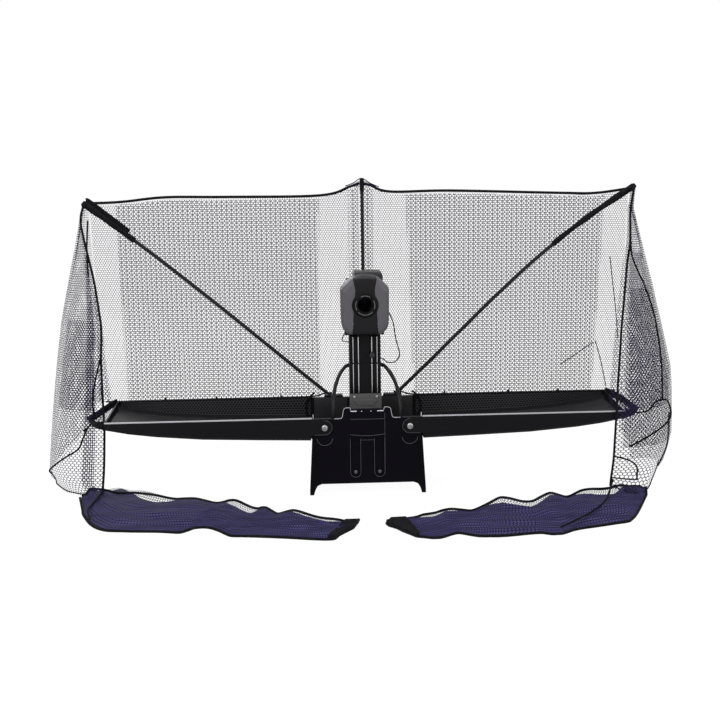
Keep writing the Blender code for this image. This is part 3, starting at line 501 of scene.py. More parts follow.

# %% [markdown]
# ## Cable and lead
#
# Two cords are free: the thin cable that loops from the head's fork to the sliding tower on
# the right, and a short lead on the left. Each end is held by something different.


# %% Cords
ARM_OUT, TOWER_HALF, TOWER_Y, FIT = 0.057, 0.0455, -0.002, 0.0003
CABLE_R, LEAD_R = 0.00175, 0.0014


def cord(name, points, radius, node):
    line = smooth_line(points, 5)
    cable = stand_in(name, rod(line, radius, 10), rubber, None, node)
    path = [p + Vector((0, STAND_BACK, 0)) for p in line]
    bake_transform(cable)
    round(length_of(line), 3)
    print(name, "is", round(length_of(line) * 1000), "mm long")


y = TOWER_Y
cord("head_cable_tube", [
    (ARM_OUT + FIT, y, 0.516), (0.066, y, 0.5155), (0.0765, y - 0.004, 0.5),
    (0.0845, y - 0.01, 0.476),
    (0.09, y - 0.014, 0.436), (0.1, y - 0.016, 0.397), (0.0992, y - 0.015, 0.38),
    (0.086, y - 0.012, 0.365), (0.0665, y - 0.009, 0.364), (0.0545, y - 0.008, 0.373),
    (TOWER_HALF + FIT, y - 0.008, 0.3765)], CABLE_R, "head_cable")
cord("short_lead_tube", [
    (-ARM_OUT - FIT, y, 0.4495), (-0.0605, y, 0.444), (-0.0645, y - 0.001, 0.4345),
    (-0.0652, y - 0.002, 0.4305), (-0.063, y - 0.002, 0.4288), (-0.055, y - 0.002, 0.4262),
    (-TOWER_HALF - FIT, y - 0.002, 0.4252)],
    LEAD_R, "short_lead")

# %% [markdown]
# ## Finishes for the solids that stay
#
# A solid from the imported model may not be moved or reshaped, but its material slot is free.


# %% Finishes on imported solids
def dress(material, *names):
    for name in names:
        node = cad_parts[name]
        node.data.materials.clear()
        node.data.materials.append(material)


def both(*names):
    return [f"{name}_{side}" for name in names for side in SIDES]


dress(panel_plastic, "front_panel")
dress(black_plastic, "hopper_tub", "mast_socket", *both("trough", "pole_bracket"))
dress(tower_plastic, "tower_lower", "tower_upper", "yoke")
dress(box_plastic, "tower_core", "top_box", "feed_motor", "head_body")
dress(grey_plastic, "cover_plate", "feed_disc")
# the lips' pale grey is painted highlight, the light line along the troughs' front edge
dress(lip_highlight_grey, *both("lip"))
dress(tube_paint, "mast", *both("pole", "guard_rod"))
dress(bright_steel, *both("cover_bolt", "tilt_pin", "wheel_motor"))
dress(bolt_steel, *both("pivot_bolt"))
dress(rubber, *both("throw_wheel"))
print("dressed the packed solids")

# %% [markdown]
# ## Knitting a net
#
# A catch net is knitted with six-sided holes. Painting holes on a flat sheet looks like
# paper from nearby, so each hole is real: every cell is a ring of six narrow faces. The cells
# are laid out flat, then a function bends the flat cloth into place.


# %% Knitting
def knit(name, spot, across, tall, pitch, cover, material, body, slot, keep=None):
    """Net of six-sided holes. spot(u, v) takes arrays from 0 to 1 and gives points."""
    rows = int(tall / (pitch * math.sqrt(0.75))) + 2
    columns = int(across / pitch) + 2
    j, i = np.mgrid[0:rows, 0:columns]
    x = ((i + 0.5 * (j % 2)) * pitch).ravel()
    z = (j * pitch * math.sqrt(0.75)).ravel()
    inside = (x <= across) & (z <= tall)
    if keep is not None:
        inside &= keep(x / across, z / tall)
    x, z = x[inside], z[inside]
    turn = np.radians(30 + 60 * np.arange(6))
    out = pitch / math.sqrt(3)
    rim_x, rim_z = x[:, None] + out * np.cos(turn), z[:, None] + out * np.sin(turn)
    hole = out * math.sqrt(1 - cover)
    hole_x, hole_z = x[:, None] + hole * np.cos(turn), z[:, None] + hole * np.sin(turn)
    key = np.round(np.stack([rim_x.ravel(), rim_z.ravel()], 1) / (out * 0.25)).astype(int)
    _, first, shared = np.unique(key, axis=0, return_index=True, return_inverse=True)
    flat_x = np.concatenate([rim_x.ravel()[first], hole_x.ravel()])
    flat_z = np.concatenate([rim_z.ravel()[first], hole_z.ravel()])
    points = np.stack(spot(np.clip(flat_x / across, 0, 1), np.clip(flat_z / tall, 0, 1)), 1)
    outer = shared.reshape(-1, 6)
    inner = len(first) + np.arange(len(x) * 6).reshape(-1, 6)
    faces = np.stack([outer, np.roll(outer, -1, 1), np.roll(inner, -1, 1), inner], 2).reshape(-1, 4)
    net = place(name, points, faces, material, None, slot, 180.0)
    lone = bmesh.new()
    lone.from_mesh(net.data)
    bmesh.ops.dissolve_degenerate(lone, dist=1e-6, edges=lone.edges)
    lone.to_mesh(net.data)
    lone.free()
    print(name, "has", len(x), "holes")
    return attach(net, body)


# %% [markdown]
# ## Back net
#
# The main net hangs from the binding between the poles. Most of each half has a second,
# looser layer behind it, which is why it looks darker than the strip next to the tower. Both
# layers are cut from one lattice of holes. The rear one is pulled wide, so the two make an
# even zigzag and no ripples.

# %% Back net
NET_Y, NET_THICK, NET_LOW_Z = 0.1506, 0.003, 0.226
NET_TOP = metres({
    "left": ((-800, 822), (-737, 823), (-686, 826), (-572, 836), (-398, 834), (-119, 834),
             (-29, 859), (-1.5, 868)),
    "right": ((1.5, 868), (30, 862), (89, 842), (268, 842), (597, 830), (703, 828), (805, 840)),
})
THREAD_SHARE = 0.32  # of the cloth's area that is thread and not hole
NET_TALL = 0.605  # mean height of the hung net
MESH = 0.0072  # from one hole to the next
PULL = 2.0  # how much wider the holes of the loose layer are


def top_of(side, x):
    line = np.array(NET_TOP[side])
    return np.interp(x, line[:, 0], line[:, 1])


def billow(x, z):
    """Gentle waves of a net that hangs from its top edge."""
    high = np.clip((z - NET_LOW_Z) / 0.6, 0, 1)
    slow = 0.0016 * np.sin(9 * x + 3 * z) * np.sin(math.pi * high)
    return slow + 0.001 * np.sin(23 * x - 7 * z) * high * (1 - high)


def net_sheet(net, width, tall, share, rests_on, held="hung", pieces=()):
    """A net's thread covers only part of the cloth's rectangle; this works that area out and keeps
    nothing.
    """
    share * width * tall


def hang(name, side, low_edges, top_edges, drop, depth, node, rests_on):
    """Cut one net from the lattice, between its two side edges and under the top line."""
    pull = PULL if name.startswith(("loose", "mast")) else 1.0
    start = math.floor(min(low_edges[0], top_edges[0]) / MESH / pull) * MESH * pull
    across = max(low_edges[1], top_edges[1]) - start
    tall = 0.655

    def edges(x, z):
        """The net's left edge, right edge and top at a point."""
        top = top_of(side, x) - drop
        share = np.clip((z - NET_LOW_Z) / (top - NET_LOW_Z), 0, 1)
        near, far = (a + (b - a) * share for a, b in zip(low_edges, top_edges))
        return near, far, top

    def spot(u, v):
        x, z = start + u * across, NET_LOW_Z + v * tall
        near, far, top = edges(x, z)
        x, z = np.clip(x, near, far), np.clip(z, NET_LOW_Z, top)
        return x, depth + billow(x, z), z

    def keep(u, v):
        x, z = start + u * across, NET_LOW_Z + v * tall
        near, far, top = edges(x, z)
        return (x > near) & (x < far) & (z < top)

    net = knit(name, spot, across / pull, tall, MESH, THREAD_SHARE, net_black, "base", node, keep)
    width = (low_edges[1] - low_edges[0] + top_edges[1] - top_edges[0]) / 2
    net_sheet(net, round(width, 3), NET_TALL, THREAD_SHARE, rests_on)
    return net


main_y, loose_y = NET_Y + 0.0015, NET_Y + NET_THICK + 0.0018
FIELDS = {
    "back_net_left": ("left", (-0.7855, -0.0015), (-0.8, -0.0015), 0.0, main_y),
    "back_net_right": ("right", (0.0015, 0.7855), (0.0015, 0.805), 0.0, main_y),
    "loose_net_left": ("left", (-0.718, -0.127), (-0.722, -0.122), 0.004, loose_y),
    "loose_net_right": ("right", (0.155, 0.71), (0.133, 0.735), 0.004, loose_y),
}
for node, (side, *rest) in FIELDS.items():
    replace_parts(hang(node + "_mesh", side, *rest, node, [f"pole_{side}", "mast"]), node)
for side, reach in (("left", -0.036), ("right", 0.038)):
    low, high = sorted((reach, 0.0))
    hang("mast_net_strip_" + side, side, (low, high), (low, high), 0.004, loose_y,
         "back_net_" + side, ["mast"])

# %% [markdown]
# ## Bindings, sleeves and hem
#
# Black webbing binds the top of the net. At each pole's tip a long sleeve of the same
# webbing slides over the pole. The bottom edge is a rope, clipped to the trough's rear wall.

# %% Bindings
POLE_Y, POLE_FOOT = 0.142, (0.079, 0.215)
POLE_TIP = {"left": (-0.812, 0.827), "right": (0.818, 0.853)}
POLE_BOW, POLE_BEND = {"left": 0.011, "right": 0.0395}, 1.4
MAST_X = 0.005
SLEEVE_REACH = {"left": 0.2, "right": 0.33}  # share of the pole that the sleeve covers
SLEEVE_STEPS = 40
# the hem's rope: how far out, how far before the net, how high; and where its clips are
HEM_LINE = ((0.094, 0.0025, 0.2396), (0.1215, 0.0025, 0.2375), (0.15, 0.0022, 0.23),
            (0.25, 0.002, 0.2275), (0.446, 0.0022, 0.2278), (0.6, 0.002, 0.227),
            (0.781, 0.0022, 0.2275))
HEM_CLIPS = (0.25, 0.446, 0.6)


def strap(half_tall, half_thick, count=12):
    """Section of a flat strap with rounded edges, thin across its first direction."""
    return [(half_thick * math.copysign(abs(math.cos(a)) ** 0.6, math.cos(a)),
             half_tall * math.copysign(abs(math.sin(a)) ** 0.6, math.sin(a)))
            for a in (math.tau * k / count for k in range(count))]


def pole_at(side, share):
    """Point on a pole's middle line, at a share of the way from its foot to its tip."""
    foot_x, tip = SIDES[side] * POLE_FOOT[0], POLE_TIP[side]
    rise = POLE_BOW[side] * math.sin(math.pi * min(share, 1.0) ** POLE_BEND)
    z = POLE_FOOT[1] + (tip[1] - POLE_FOOT[1]) * share + rise
    return Vector((foot_x + (tip[0] - foot_x) * share, POLE_Y, z))


for side, sign in SIDES.items():
    line = smooth_line([(x, NET_Y + 0.004, z + 0.0046) for x, z in NET_TOP[side]], 8)
    stand_in("top_tape_" + side, sweep(line, strap(0.004, 0.004)), webbing, "base",
             "top_binding_" + side)

    line, sections = [], []
    for k in range(SLEEVE_STEPS + 1):
        t = k / SLEEVE_STEPS
        line.append(pole_at(side, 1.004 - SLEEVE_REACH[side] * (1 - t)))
        wide = 0.007 + 0.0014 * math.sin(9 * t + 1) ** 2 + 0.003 * t**2
        if k == SLEEVE_STEPS:
            wide *= 0.6
        sections.append(disc(wide, 14))
    stand_in("pole_sleeve_" + side, sweep(line, sections), webbing, "base", "pole_pocket_" + side)

    line = smooth_line([(sign * x, NET_Y - behind, z) for x, behind, z in HEM_LINE], 10)
    parts = [rod(line, 0.0024, 10)]
    for x in HEM_CLIPS:
        across = (sign * x - 0.0035, sign * x + 0.0035)
        parts.append(block(across, (0.1258, NET_Y - 0.0008), (0.226, 0.233)))
        parts.append(block(across, (0.1258, 0.1284), (0.224, 0.233)))
        parts.append(block((sign * x - 0.002, sign * x + 0.002), (0.1262, 0.14), (0.2325, 0.2395)))
    stand_in("net_rope_" + side, join(*parts), webbing, "base", "net_hem_" + side)

pocket_line = smooth_line([(-0.806, 0.149, 0.834), (-0.795, 0.1493, 0.829), (-0.74, 0.1498, 0.785),
                           (-0.686, 0.1498, 0.74)], 6)
place("pole_strap_left", *sweep(pocket_line, strap(0.0085, 0.001)), webbing, "base",
      "pole_pocket_left")
crown = [rod(smooth_line([(-0.044, 0.1488, 0.865), (-0.02, 0.1484, 0.874), (0.0045, 0.1482, 0.8875),
                            (0.029, 0.1484, 0.873), (0.056, 0.1488, 0.861)], 5), 0.0014),
         rod([(MAST_X, POLE_Y, 0.848), (MAST_X, POLE_Y, 0.8868)], 0.0064, 14)]
place("mast_pocket", *join(*crown), webbing, "base", "top_binding_right")


def peak(u, v):
    """The triangle of net that rises to the mast's top."""
    return (u - 0.5) * 0.094 * (1.0 - v) + 0.006, 0.1486 + 0 * u, 0.862 + 0.022 * v


gusset = knit("mast_gusset", peak, 0.094, 0.024, MESH / 2, 0.56, net_black, "base",
              "top_binding_right")
net_sheet(gusset, 0.094, 0.024, 0.3, ["mast"])
print("bindings done")

# %% [markdown]
# ## Side nets
#
# Beside each trough the net turns forward and hangs to the floor as a half-open bag. Its
# front edge is bound with a black cord that sways, and its side is cut open below a bound
# lip. The bag is written as a curve across it at each height: back edge, belly, front cord.

# %% Side nets
BACK_EDGE_X = metres({
    "left": ((0, 190, 240, 826), (806, 804, 786.2, 801)),
    "right": ((0, 190, 240, 851), (802, 797, 786.2, 808)),
})
# height, and how far out and how far forward the front cord hangs there
FRONT_CORD = metres({
    "left": ((1.5, 764, -82), (100, 759, -56), (189, 758, -29), (275, 760.9, -13), (394, 763.8, 12),
             (442, 760.9, 22), (484, 761.6, 32), (543, 769.8, 47), (614, 780.6, 64),
             (648, 789.1, 73), (705, 803.1, 88), (765, 815.4, 104), (787, 818, 110),
             (826, 806, 120)),
    "right": ((1.5, 704, -118), (95, 709, -128), (203, 711, -132), (268, 713, -130),
              (309, 719, -110), (376, 733, -70), (452, 746, -30), (521, 761.7, 10),
              (636, 779.3, 51), (689, 791.2, 67), (782, 796, 97), (851, 810, 115)),
})
BELLY_X = metres({
    "left": ((0, 912), (20, 930), (37, 943), (59, 941), (166, 929), (320, 907), (483, 883),
             (522, 875), (698, 837), (775, 821), (826, 810)),
    "right": ((0, 880), (90, 902), (141, 912), (250, 905), (339, 903), (440, 885), (565, 862),
              (671, 836), (794, 808), (851, 815)),
})
SIDE_TALL = {"left": 0.826, "right": 0.851}
SIDE_SHARE, SIDE_MESH, SIDE_FLAT = 0.35, 0.0076, (0.34, 0.82)
# where the bag's lower edge lies on the floor: share across it, how far out, how far back
FLOOR_LINE = {
    "left": ((0.0, 0.806, 0.152), (0.25, 0.88, 0.12), (0.5, 0.925, 0.045), (0.7, 0.876, -0.033),
             (0.85, 0.827, -0.066), (1.0, 0.764, -0.082)),
    "right": ((0.0, 0.802, 0.152), (0.3, 0.89, 0.17), (0.5, 0.925, 0.14), (0.65, 0.872, 0.01),
              (0.8, 0.79, -0.19), (0.88, 0.74, -0.215), (1.0, 0.704, -0.118)),
}


def bag(side, draw=0.0):
    """The bag's surface; draw pulls the whole curve in, for a second layer inside it."""
    sign, top = SIDES[side], SIDE_TALL[side]
    front, belly = np.array(FRONT_CORD[side]), np.array(BELLY_X[side])

    def spot(u, v):
        height = 0.0015 + (top - 0.0015) * v
        back_x = np.interp(height, *BACK_EDGE_X[side])
        front_x = np.interp(height, front[:, 0], front[:, 1])
        front_y, back_y = np.interp(height, front[:, 0], front[:, 2]), NET_Y + NET_THICK / 2
        straight = back_x + (front_x - back_x) * u
        bulge = np.sin(math.pi * u)
        fold = (0.006 * np.sin(9 * u + 5 * v) * (1 - v)
                + 0.0045 * np.sin(34 * u + 2 * v) * (0.3 + 0.7 * v))
        x = straight + (np.interp(height, belly[:, 0], belly[:, 1]) - draw - straight) * bulge
        x = x + fold * bulge - draw * 0.3 * bulge
        half = (back_y - front_y) / 2
        y = (back_y + front_y) / 2 + half * np.cos(math.pi * u)
        line = np.array(FLOOR_LINE[side])
        low = np.clip(1 - height / 0.055, 0, 1) ** 1.3
        x = x + (np.interp(u, line[:, 0], line[:, 1]) - x) * low
        return sign * x, y + (np.interp(u, line[:, 0], line[:, 2]) - y) * low, height

    return spot


def edge_line(spot, stations, steps):
    """Smooth line over a net through pairs of u and v."""
    return smooth_line([tuple(float(c) for c in spot(u, v)) for u, v in stations], steps)


def on_front(side, points):
    """Smooth line through pairs of x and z, laid on the front half of the bag."""
    spot, sign = bag(side), SIDES[side]
    across = np.linspace(0.5, 1.0, 60)
    line = []
    for x, z in points:
        v = (z - 0.0015) / (SIDE_TALL[side] - 0.0015)
        row_x, row_y, _ = spot(across, np.full(60, v))
        y = float(np.interp(x, (sign * row_x)[::-1], row_y[::-1]))
        line.append((sign * x, y - 0.003, z))
    return smooth_line(line, 6)


def width_of(spot):
    """Mean width of a bent cloth, to the nearest millimetre."""
    rows = [np.stack(spot(np.linspace(0, 1, 80), np.full(80, v)), 1)
            for v in (0.1, 0.3, 0.5, 0.7, 0.9)]
    lengths = [np.linalg.norm(np.diff(row, axis=0), axis=1).sum() for row in rows]
    return round(float(np.mean(lengths)), 3)


# the lip of the cut in each bag: pairs of u and v
LIP = {
    "left": ((0.5, 0.044), (0.58, 0.066), (0.696, 0.097), (0.79, 0.128), (0.863, 0.158),
             (0.885, 0.19), (0.905, 0.222), (0.95, 0.262), (1.0, 0.285)),
    "right": ((0.868, 0.034), (0.872, 0.04), (0.885, 0.066), (0.915, 0.088), (0.955, 0.102),
              (1.0, 0.112)),
}
# the cord that ends each lip, in the same way
LIP_END = {"left": ((0.5, 0.044), (0.5, 0.03), (0.5, 0.018), (0.5, 0.006)),
           "right": ((0.868, 0.034), (0.9, 0.034), (0.94, 0.034), (0.97, 0.034), (1.0, 0.034))}
# seam cords on the front half of each bag: how far out and how high
TRIMS = metres({
    "left": (((795.5, 780), (799, 690), (795, 620)),
             ((763, 396), (780, 330), (790, 272), (790, 213), (818, 185))),
    "right": (((792.5, 693), (795, 648), (828, 570), (851, 503), (860, 440), (861, 346),
               (854, 255)),
              ((770, 224), (800, 226), (815, 232), (831, 250), (860, 252), (880, 239), (895, 199),
               (870, 178), (810, 150), (752, 125)), ((895, 199), (908, 179), (907, 90), (886, 18))),
})
# doubled bands inside each bag: from and to across it, from and to in height
LAYERS = {"left": ((0.885, 0.96, 0.0, 1.0), (0.89, 0.955, 0.0, 1.0), (0.6, 0.96, 0.29, 0.6)),
          "right": ((0.58, 0.97, 0.14, 0.78), (0.62, 0.95, 0.27, 0.66))}
for side, sign in SIDES.items():
    spot = bag(side)
    lip = np.array(LIP[side])

    def keep(u, v, lip=lip):
        """The bag's rear is cut away below its lip, so the net is single there."""
        return ~((1 - u > lip[0, 0]) & (v < np.interp(1 - u, lip[:, 0], lip[:, 1])))

    net = knit(f"side_net_{side}_mesh", spot, *SIDE_FLAT, SIDE_MESH, SIDE_SHARE, net_violet,
               "base", "side_net_" + side, keep)
    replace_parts(net, "side_net_" + side)
    parts = []
    for stations, steps, radius, count in (
            ([(1.0, v) for v in np.linspace(0.998, 0.004, 30)], 4, 0.0034, 10),
            (LIP[side], 8, 0.0026, 8),
            ([(u, 0.006) for u in np.linspace(0.5, 1.0, 10)], 4, 0.0018, 8),
            (LIP_END[side], 3 if side == "left" else 4, 0.0018, 8)):
        parts.append(rod(edge_line(spot, stations, steps), radius, count))
    parts += [rod(on_front(side, points), 0.0026) for points in TRIMS[side]]
    tape = place(f"side_net_{side}_tape", *join(*parts), webbing, "base", "side_net_" + side)
    net_sheet(net, *SIDE_FLAT, SIDE_SHARE, [f"pole_{side}", f"trough_{side}"], "hung", [tape])
    for count, (near, far, low, high) in enumerate(LAYERS[side]):
        inner = bag(side, 0.004 + 0.004 * count)

        def part(u, v, inner=inner, near=near, far=far, low=low, high=high):
            return inner(near + (far - near) * u, low + (high - low) * v)

        wide, tall = width_of(part), SIDE_FLAT[1] * (high - low)
        layer = knit(f"side_net_{side}_layer_{count}", part, wide, tall, SIDE_MESH, SIDE_SHARE,
                     net_black, "base", "side_net_" + side)
        net_sheet(layer, wide, round(tall, 3), SIDE_SHARE, ["side_net_" + side])

GORE_SHARE = 0.34
# gathered bands: lowest and highest point, start beside the cord, width and how it narrows
GORES = {"left": (0.262, 0.592, 0.012, 0.04, 0.036), "right": (0.24, 0.8, 0.004, 0.026, 0.014)}


def gore(side):
    """Gathered band of net beside a front cord."""
    low, high, start, wide, taper = GORES[side]
    front = np.array(FRONT_CORD[side])

    def spot(u, v):
        z = low + (high - low) * v
        x = np.interp(z, front[:, 0], front[:, 1]) + start - (wide - taper * v) * u
        return SIDES[side] * x, np.interp(z, front[:, 0], front[:, 2]) + 0.006 + 0 * u, z

    return spot


for side in SIDES:
    low, high, _, wide, taper = GORES[side]
    tall, wide = round(high - low, 3), round(wide - taper / 2, 3)
    band = knit(f"side_net_{side}_gore", gore(side), wide, tall, SIDE_MESH, GORE_SHARE,
                net_violet, "base", "side_net_" + side)
    net_sheet(band, wide, tall, GORE_SHARE, ["side_net_" + side])

PULL_STRINGS = metres((((753.3, 642.5), (760, 590), (774.9, 483.8), (785, 390)),
                       ((715.4, 383.6), (735, 316.5), (752, 240)),
                       ((607.9, 310.6), (659.7, 346.4), (707.9, 378.5))))
strings = [rod(smooth_line([(x, NET_Y - 0.0012, z) for x, z in line], 5), 0.0014)
           for line in PULL_STRINGS]
place("net_pull_strings", *join(*strings), webbing, "base", "back_net_right")
print("side nets done")

# %% [markdown]
# ## Floor flaps
#
# The spare lower part of each side net lies on the floor, folded on itself. The violet
# ground is one continuous cloth with soft waves; the black knitted mesh lies just over it,
# and a black binding runs all round and ends in a black tip. Each flap is given by points
# along its front edge and the points across from them on its back edge.

# %% Floor flaps
FLAP_FRONT_EDGE = metres({
    "left": ((-827, -97), (-803, -192), (-790, -247), (-753, -334), (-713, -378), (-640, -390),
             (-566, -398), (-505, -411), (-470, -374), (-436, -376), (-407, -403), (-376, -445),
             (-320, -453), (-267, -462), (-210, -474), (-164, -486), (-108, -495), (-88, -453),
             (-53, -408)),
    "right": ((40, -400), (55, -415), (75, -437), (103, -486), (147, -504), (170, -502),
              (212, -469), (267, -500), (330, -504), (423, -486), (456, -500), (484, -498),
              (524, -468), (600, -445), (679, -419), (710, -370), (745, -295), (785, -205)),
})
FLAP_BACK_EDGE = metres({
    "left": ((-770, -21), (-735, -22), (-700, -30), (-660, -44), (-605, -88), (-551, -132),
             (-491, -146), (-429, -178), (-389, -164), (-358, -184), (-314, -244), (-289, -237),
             (-255, -284), (-210, -270), (-158, -309), (-113, -348), (-69, -368), (-50, -368),
             (-37, -364)),
    "right": ((35, -385), (50, -370), (68, -349), (116, -353), (158, -321), (205, -287),
              (266, -314), (324, -251), (377, -201), (442, -246), (513, -180), (558, -208),
              (600, -172), (646, -142), (701, -142), (740, -122), (770, -125), (795, -165)),
})
FLAP_TIP = metres({
    "left": ((-107, -498), (-88, -470), (-54, -425), (-37, -374), (-74, -374), (-95, -430),
             (-122, -494)),
    "right": ((34, -404), (48, -369), (88, -366), (99, -420), (112, -490), (104, -500), (72, -458),
              (54, -426)),
})
FLAP_CORD = metres({
    "left": ((-766.7, -55), (-764, -110), (-771, -190), (-775, -252), (-756, -328)),
    "right": ((714, -105), (704, -135), (649, -282), (584, -381), (520, -450), (479, -490)),
})


def laid(side, lift):
    """The flap's waved surface, lifted a little for a layer above it."""
    front, back = (np.array(table[side]) for table in (FLAP_FRONT_EDGE, FLAP_BACK_EDGE))
    at = np.linspace(0, 1, len(front))

    def spot(u, v):
        u_soft = u + 0.01 * np.sin(3 * math.pi * v) * np.sin(math.pi * u)
        fx, fy, bx, by = (np.interp(u_soft, at, line[:, k])
                          for line in (front, back) for k in (0, 1))
        crest = np.sin(math.pi * v) ** 0.7
        wave = 0.5 + 0.5 * np.sin(15 * u + 5 * v + SIDES[side])
        rise = crest * (0.005 + 0.009 * wave + 0.0022 * np.sin(41 * u + 17 * v)
                        + 0.0015 * np.sin(9 * u - 29 * v))
        rise = rise + 0.005 * np.sin(24 * u) ** 2 * v**3
        return fx + (bx - fx) * v, fy + (by - fy) * v, 0.0022 + lift + rise

    return spot


FLAP_FLAT, FLAP_SHARE, FLAP_GRID = (0.78, 0.24), 0.44, (151, 49)
for side in SIDES:
    spot = laid(side, 0.0)
    u, v = np.meshgrid(*(np.linspace(0, 1, n) for n in FLAP_GRID), indexing="ij")
    reach = 0.89 + 0.11 * np.sin(22 * u)  # at the crests only the knitted mesh goes on to the edge
    if side == "left":
        reach = reach * (0.6 + 0.4 * np.clip(u / 0.08, 0, 1))
    points = np.stack(spot(u.ravel(), (v * reach).ravel()), 1)
    index = np.arange(math.prod(FLAP_GRID)).reshape(FLAP_GRID)
    corners = [index[:-1, :-1], index[1:, :-1], index[1:, 1:], index[:-1, 1:]]
    faces = np.stack(corners, 2).reshape(-1, 4)
    ground = stand_in(f"floor_flap_{side}_ground", (points, faces), floor_cloth, "base",
                      "floor_flap_" + side, 180.0)
    over = laid(side, 0.0016)
    mesh = knit(f"floor_flap_{side}_mesh", over, 0.8, 0.1, 0.0054, FLAP_SHARE, net_dark, "base",
                "floor_flap_" + side)
    rim = [(u, 0.0) for u in np.linspace(0, 1, 40)] + [(1.0, v) for v in np.linspace(0.1, 0.9, 6)]
    far = [1.0] * 40
    if side == "left":
        far = np.interp(np.linspace(1, 0, 40), (0.0, 0.1, 0.22, 0.3), (0.72, 0.8, 0.93, 1.0))
    rim += list(zip(np.linspace(1, 0, 40), far)) + [(0.0, v) for v in np.linspace(0.7, 0.1, 5)]
    tapes = [sweep(edge_line(laid(side, 0.002), rim, 3), strap(0.0036, 0.003))]
    cord_line = smooth_line([(x, y, 0.019) for x, y in FLAP_CORD[side]], 6)
    tapes.append(rod(cord_line, 0.0026))
    tapes.append(loft([[(x, y, z) for x, y in FLAP_TIP[side]] for z in (0.005, 0.0165)]))
    tape = place(f"floor_flap_{side}_tape", *join(*tapes), webbing, "base", "floor_flap_" + side)
    "side_net_" + side
    net_sheet(mesh, *FLAP_FLAT, FLAP_SHARE, ["side_net_" + side], "laid")
print("floor flaps done")

# %% [markdown]
# ## Straps at the trough ends
#
# A webbing strap with a folded end hooks each side net to the trough.

# %% End straps
WING_TIP_X, END_FLAT = 0.742, (0.225, 0.06)
for side, sign in SIDES.items():
    knot = (sign * 0.802, -0.012, 0.214 if side == "left" else 0.205)
    line = smooth_line([(sign * (WING_TIP_X + 0.0004), -0.11, 0.219), (sign * 0.754, -0.1104, 0.22),
                        (sign * 0.77, -0.1, 0.22), (sign * 0.788, -0.06, 0.216), knot], 6)
    last = len(line) - 1
    sections = [strap(0.0135 - 0.008 * k / last, 0.0016) for k in range(last + 1)]
    parts = [sweep(line, sections)]
    rear = smooth_line([(sign * 0.7425, 0.118, 0.232), (sign * 0.757, 0.09, 0.23),
                        (sign * 0.775, 0.04, 0.224), knot], 8)
    parts.append(sweep(rear, strap(0.0115, 0.0016)))
    parts.append(sweep([p + Vector((0, -0.02, 0.007)) for p in rear[2:-3]], strap(0.0045, 0.0012)))
    fold = smooth_line([(knot[0] - sign * 0.004, knot[1], knot[2] - 0.008), knot,
                        (knot[0] + sign * 0.006, knot[1] + 0.002, knot[2] + 0.007)], 5)
    parts.append(rod(fold, 0.0058, 10))
    stand_in("end_tab_" + side, join(*parts), webbing, "base", "end_strap_" + side)

    def corner_net(u, v, sign=sign, knot=knot):
        """Net drawn together from the trough's end to the knot."""
        y = 0.116 - END_FLAT[0] * u
        x, z = 0.743 + 0 * u, 0.23 - 0.008 * u
        return sign * (x + (abs(knot[0]) - x) * v), y + (knot[1] - y) * v, z + (knot[2] - z) * v

    net = knit("end_net_" + side, corner_net, *END_FLAT, SIDE_MESH, 0.6, net_dark, "base",
               "end_strap_" + side)
    net_sheet(net, *END_FLAT, 0.3, ["side_net_" + side])
print("straps done")

# %% [markdown]
# ## Head
#
# The throwing head is a shield-shaped dome: two grey side shells and a dark stripe that
# swells round the nozzle. All three are cut from one smooth loft, so their curves run
# through. A Boolean modifier does the cutting, and its result is kept as the mesh.

# %% Head shells
NOZZLE_Z, NOZZLE_R, FACE_FRONT, FACE_BACK = 0.5436, 0.0215, -0.084, -0.02
SHIELD = metres(((0, 625.5), (18, 624.5), (35, 620.5), (53, 605), (66, 591.5), (69.2, 584),
                 (69.2, 568), (68.5, 515), (67.5, 490), (65, 477.5), (58.5, 467), (40, 457),
                 (0, 454.5)))


def shield_ring(scale, depth):
    """The head's outline, scaled about the nozzle's middle."""
    full = list(SHIELD) + [(-x, z) for x, z in reversed(SHIELD[1:-1])]
    count = len(full)
    line = []
    for i in range(count):
        near = list(zip(*(full[(i + k) % count] for k in (-1, 0, 1, 2))))
        line += [tuple(between(*axis, s / 5) for axis in near) for s in range(5)]
    return [(x * scale, depth, NOZZLE_Z + (z - NOZZLE_Z) * scale) for x, z in line]


def dome():
    """Solid dome of the head, its rim rolling over in an even curve."""
    outside = [(1.0, FACE_BACK), (1.0, -0.045), (0.998, -0.06), (0.988, -0.068), (0.966, -0.0745),
               (0.93, -0.0795), (0.885, -0.082), (0.8, FACE_FRONT), (0.6, FACE_FRONT - 0.0008)]
    inside = [(0.6, FACE_FRONT + 0.0025), (0.76, FACE_FRONT + 0.003), (0.855, -0.0785),
              (0.915, -0.072), (0.95, -0.062), (0.96, -0.045), (0.96, FACE_BACK)]
    rings = [shield_ring(scale, depth) for scale, depth in outside + inside]
    points, faces = loft(rings)
    count = len(rings[0])
    faces = faces[:-2]
    last = len(outside) + len(inside) - 1
    faces += [[k, last * count + k, last * count + (k + 1) % count, (k + 1) % count]
              for k in range(count)]
    back_cap = [(len(outside) - 1) * count + k for k in range(count)]
    front_cap = [len(outside) * count + k for k in range(count)]
    # no wall between the two layers in front: a cap closes each of them there
    faces = [f for f in faces if not (set(f) & set(back_cap) and set(f) & set(front_cap))]
    faces += [back_cap, front_cap[::-1]]
    return points, faces


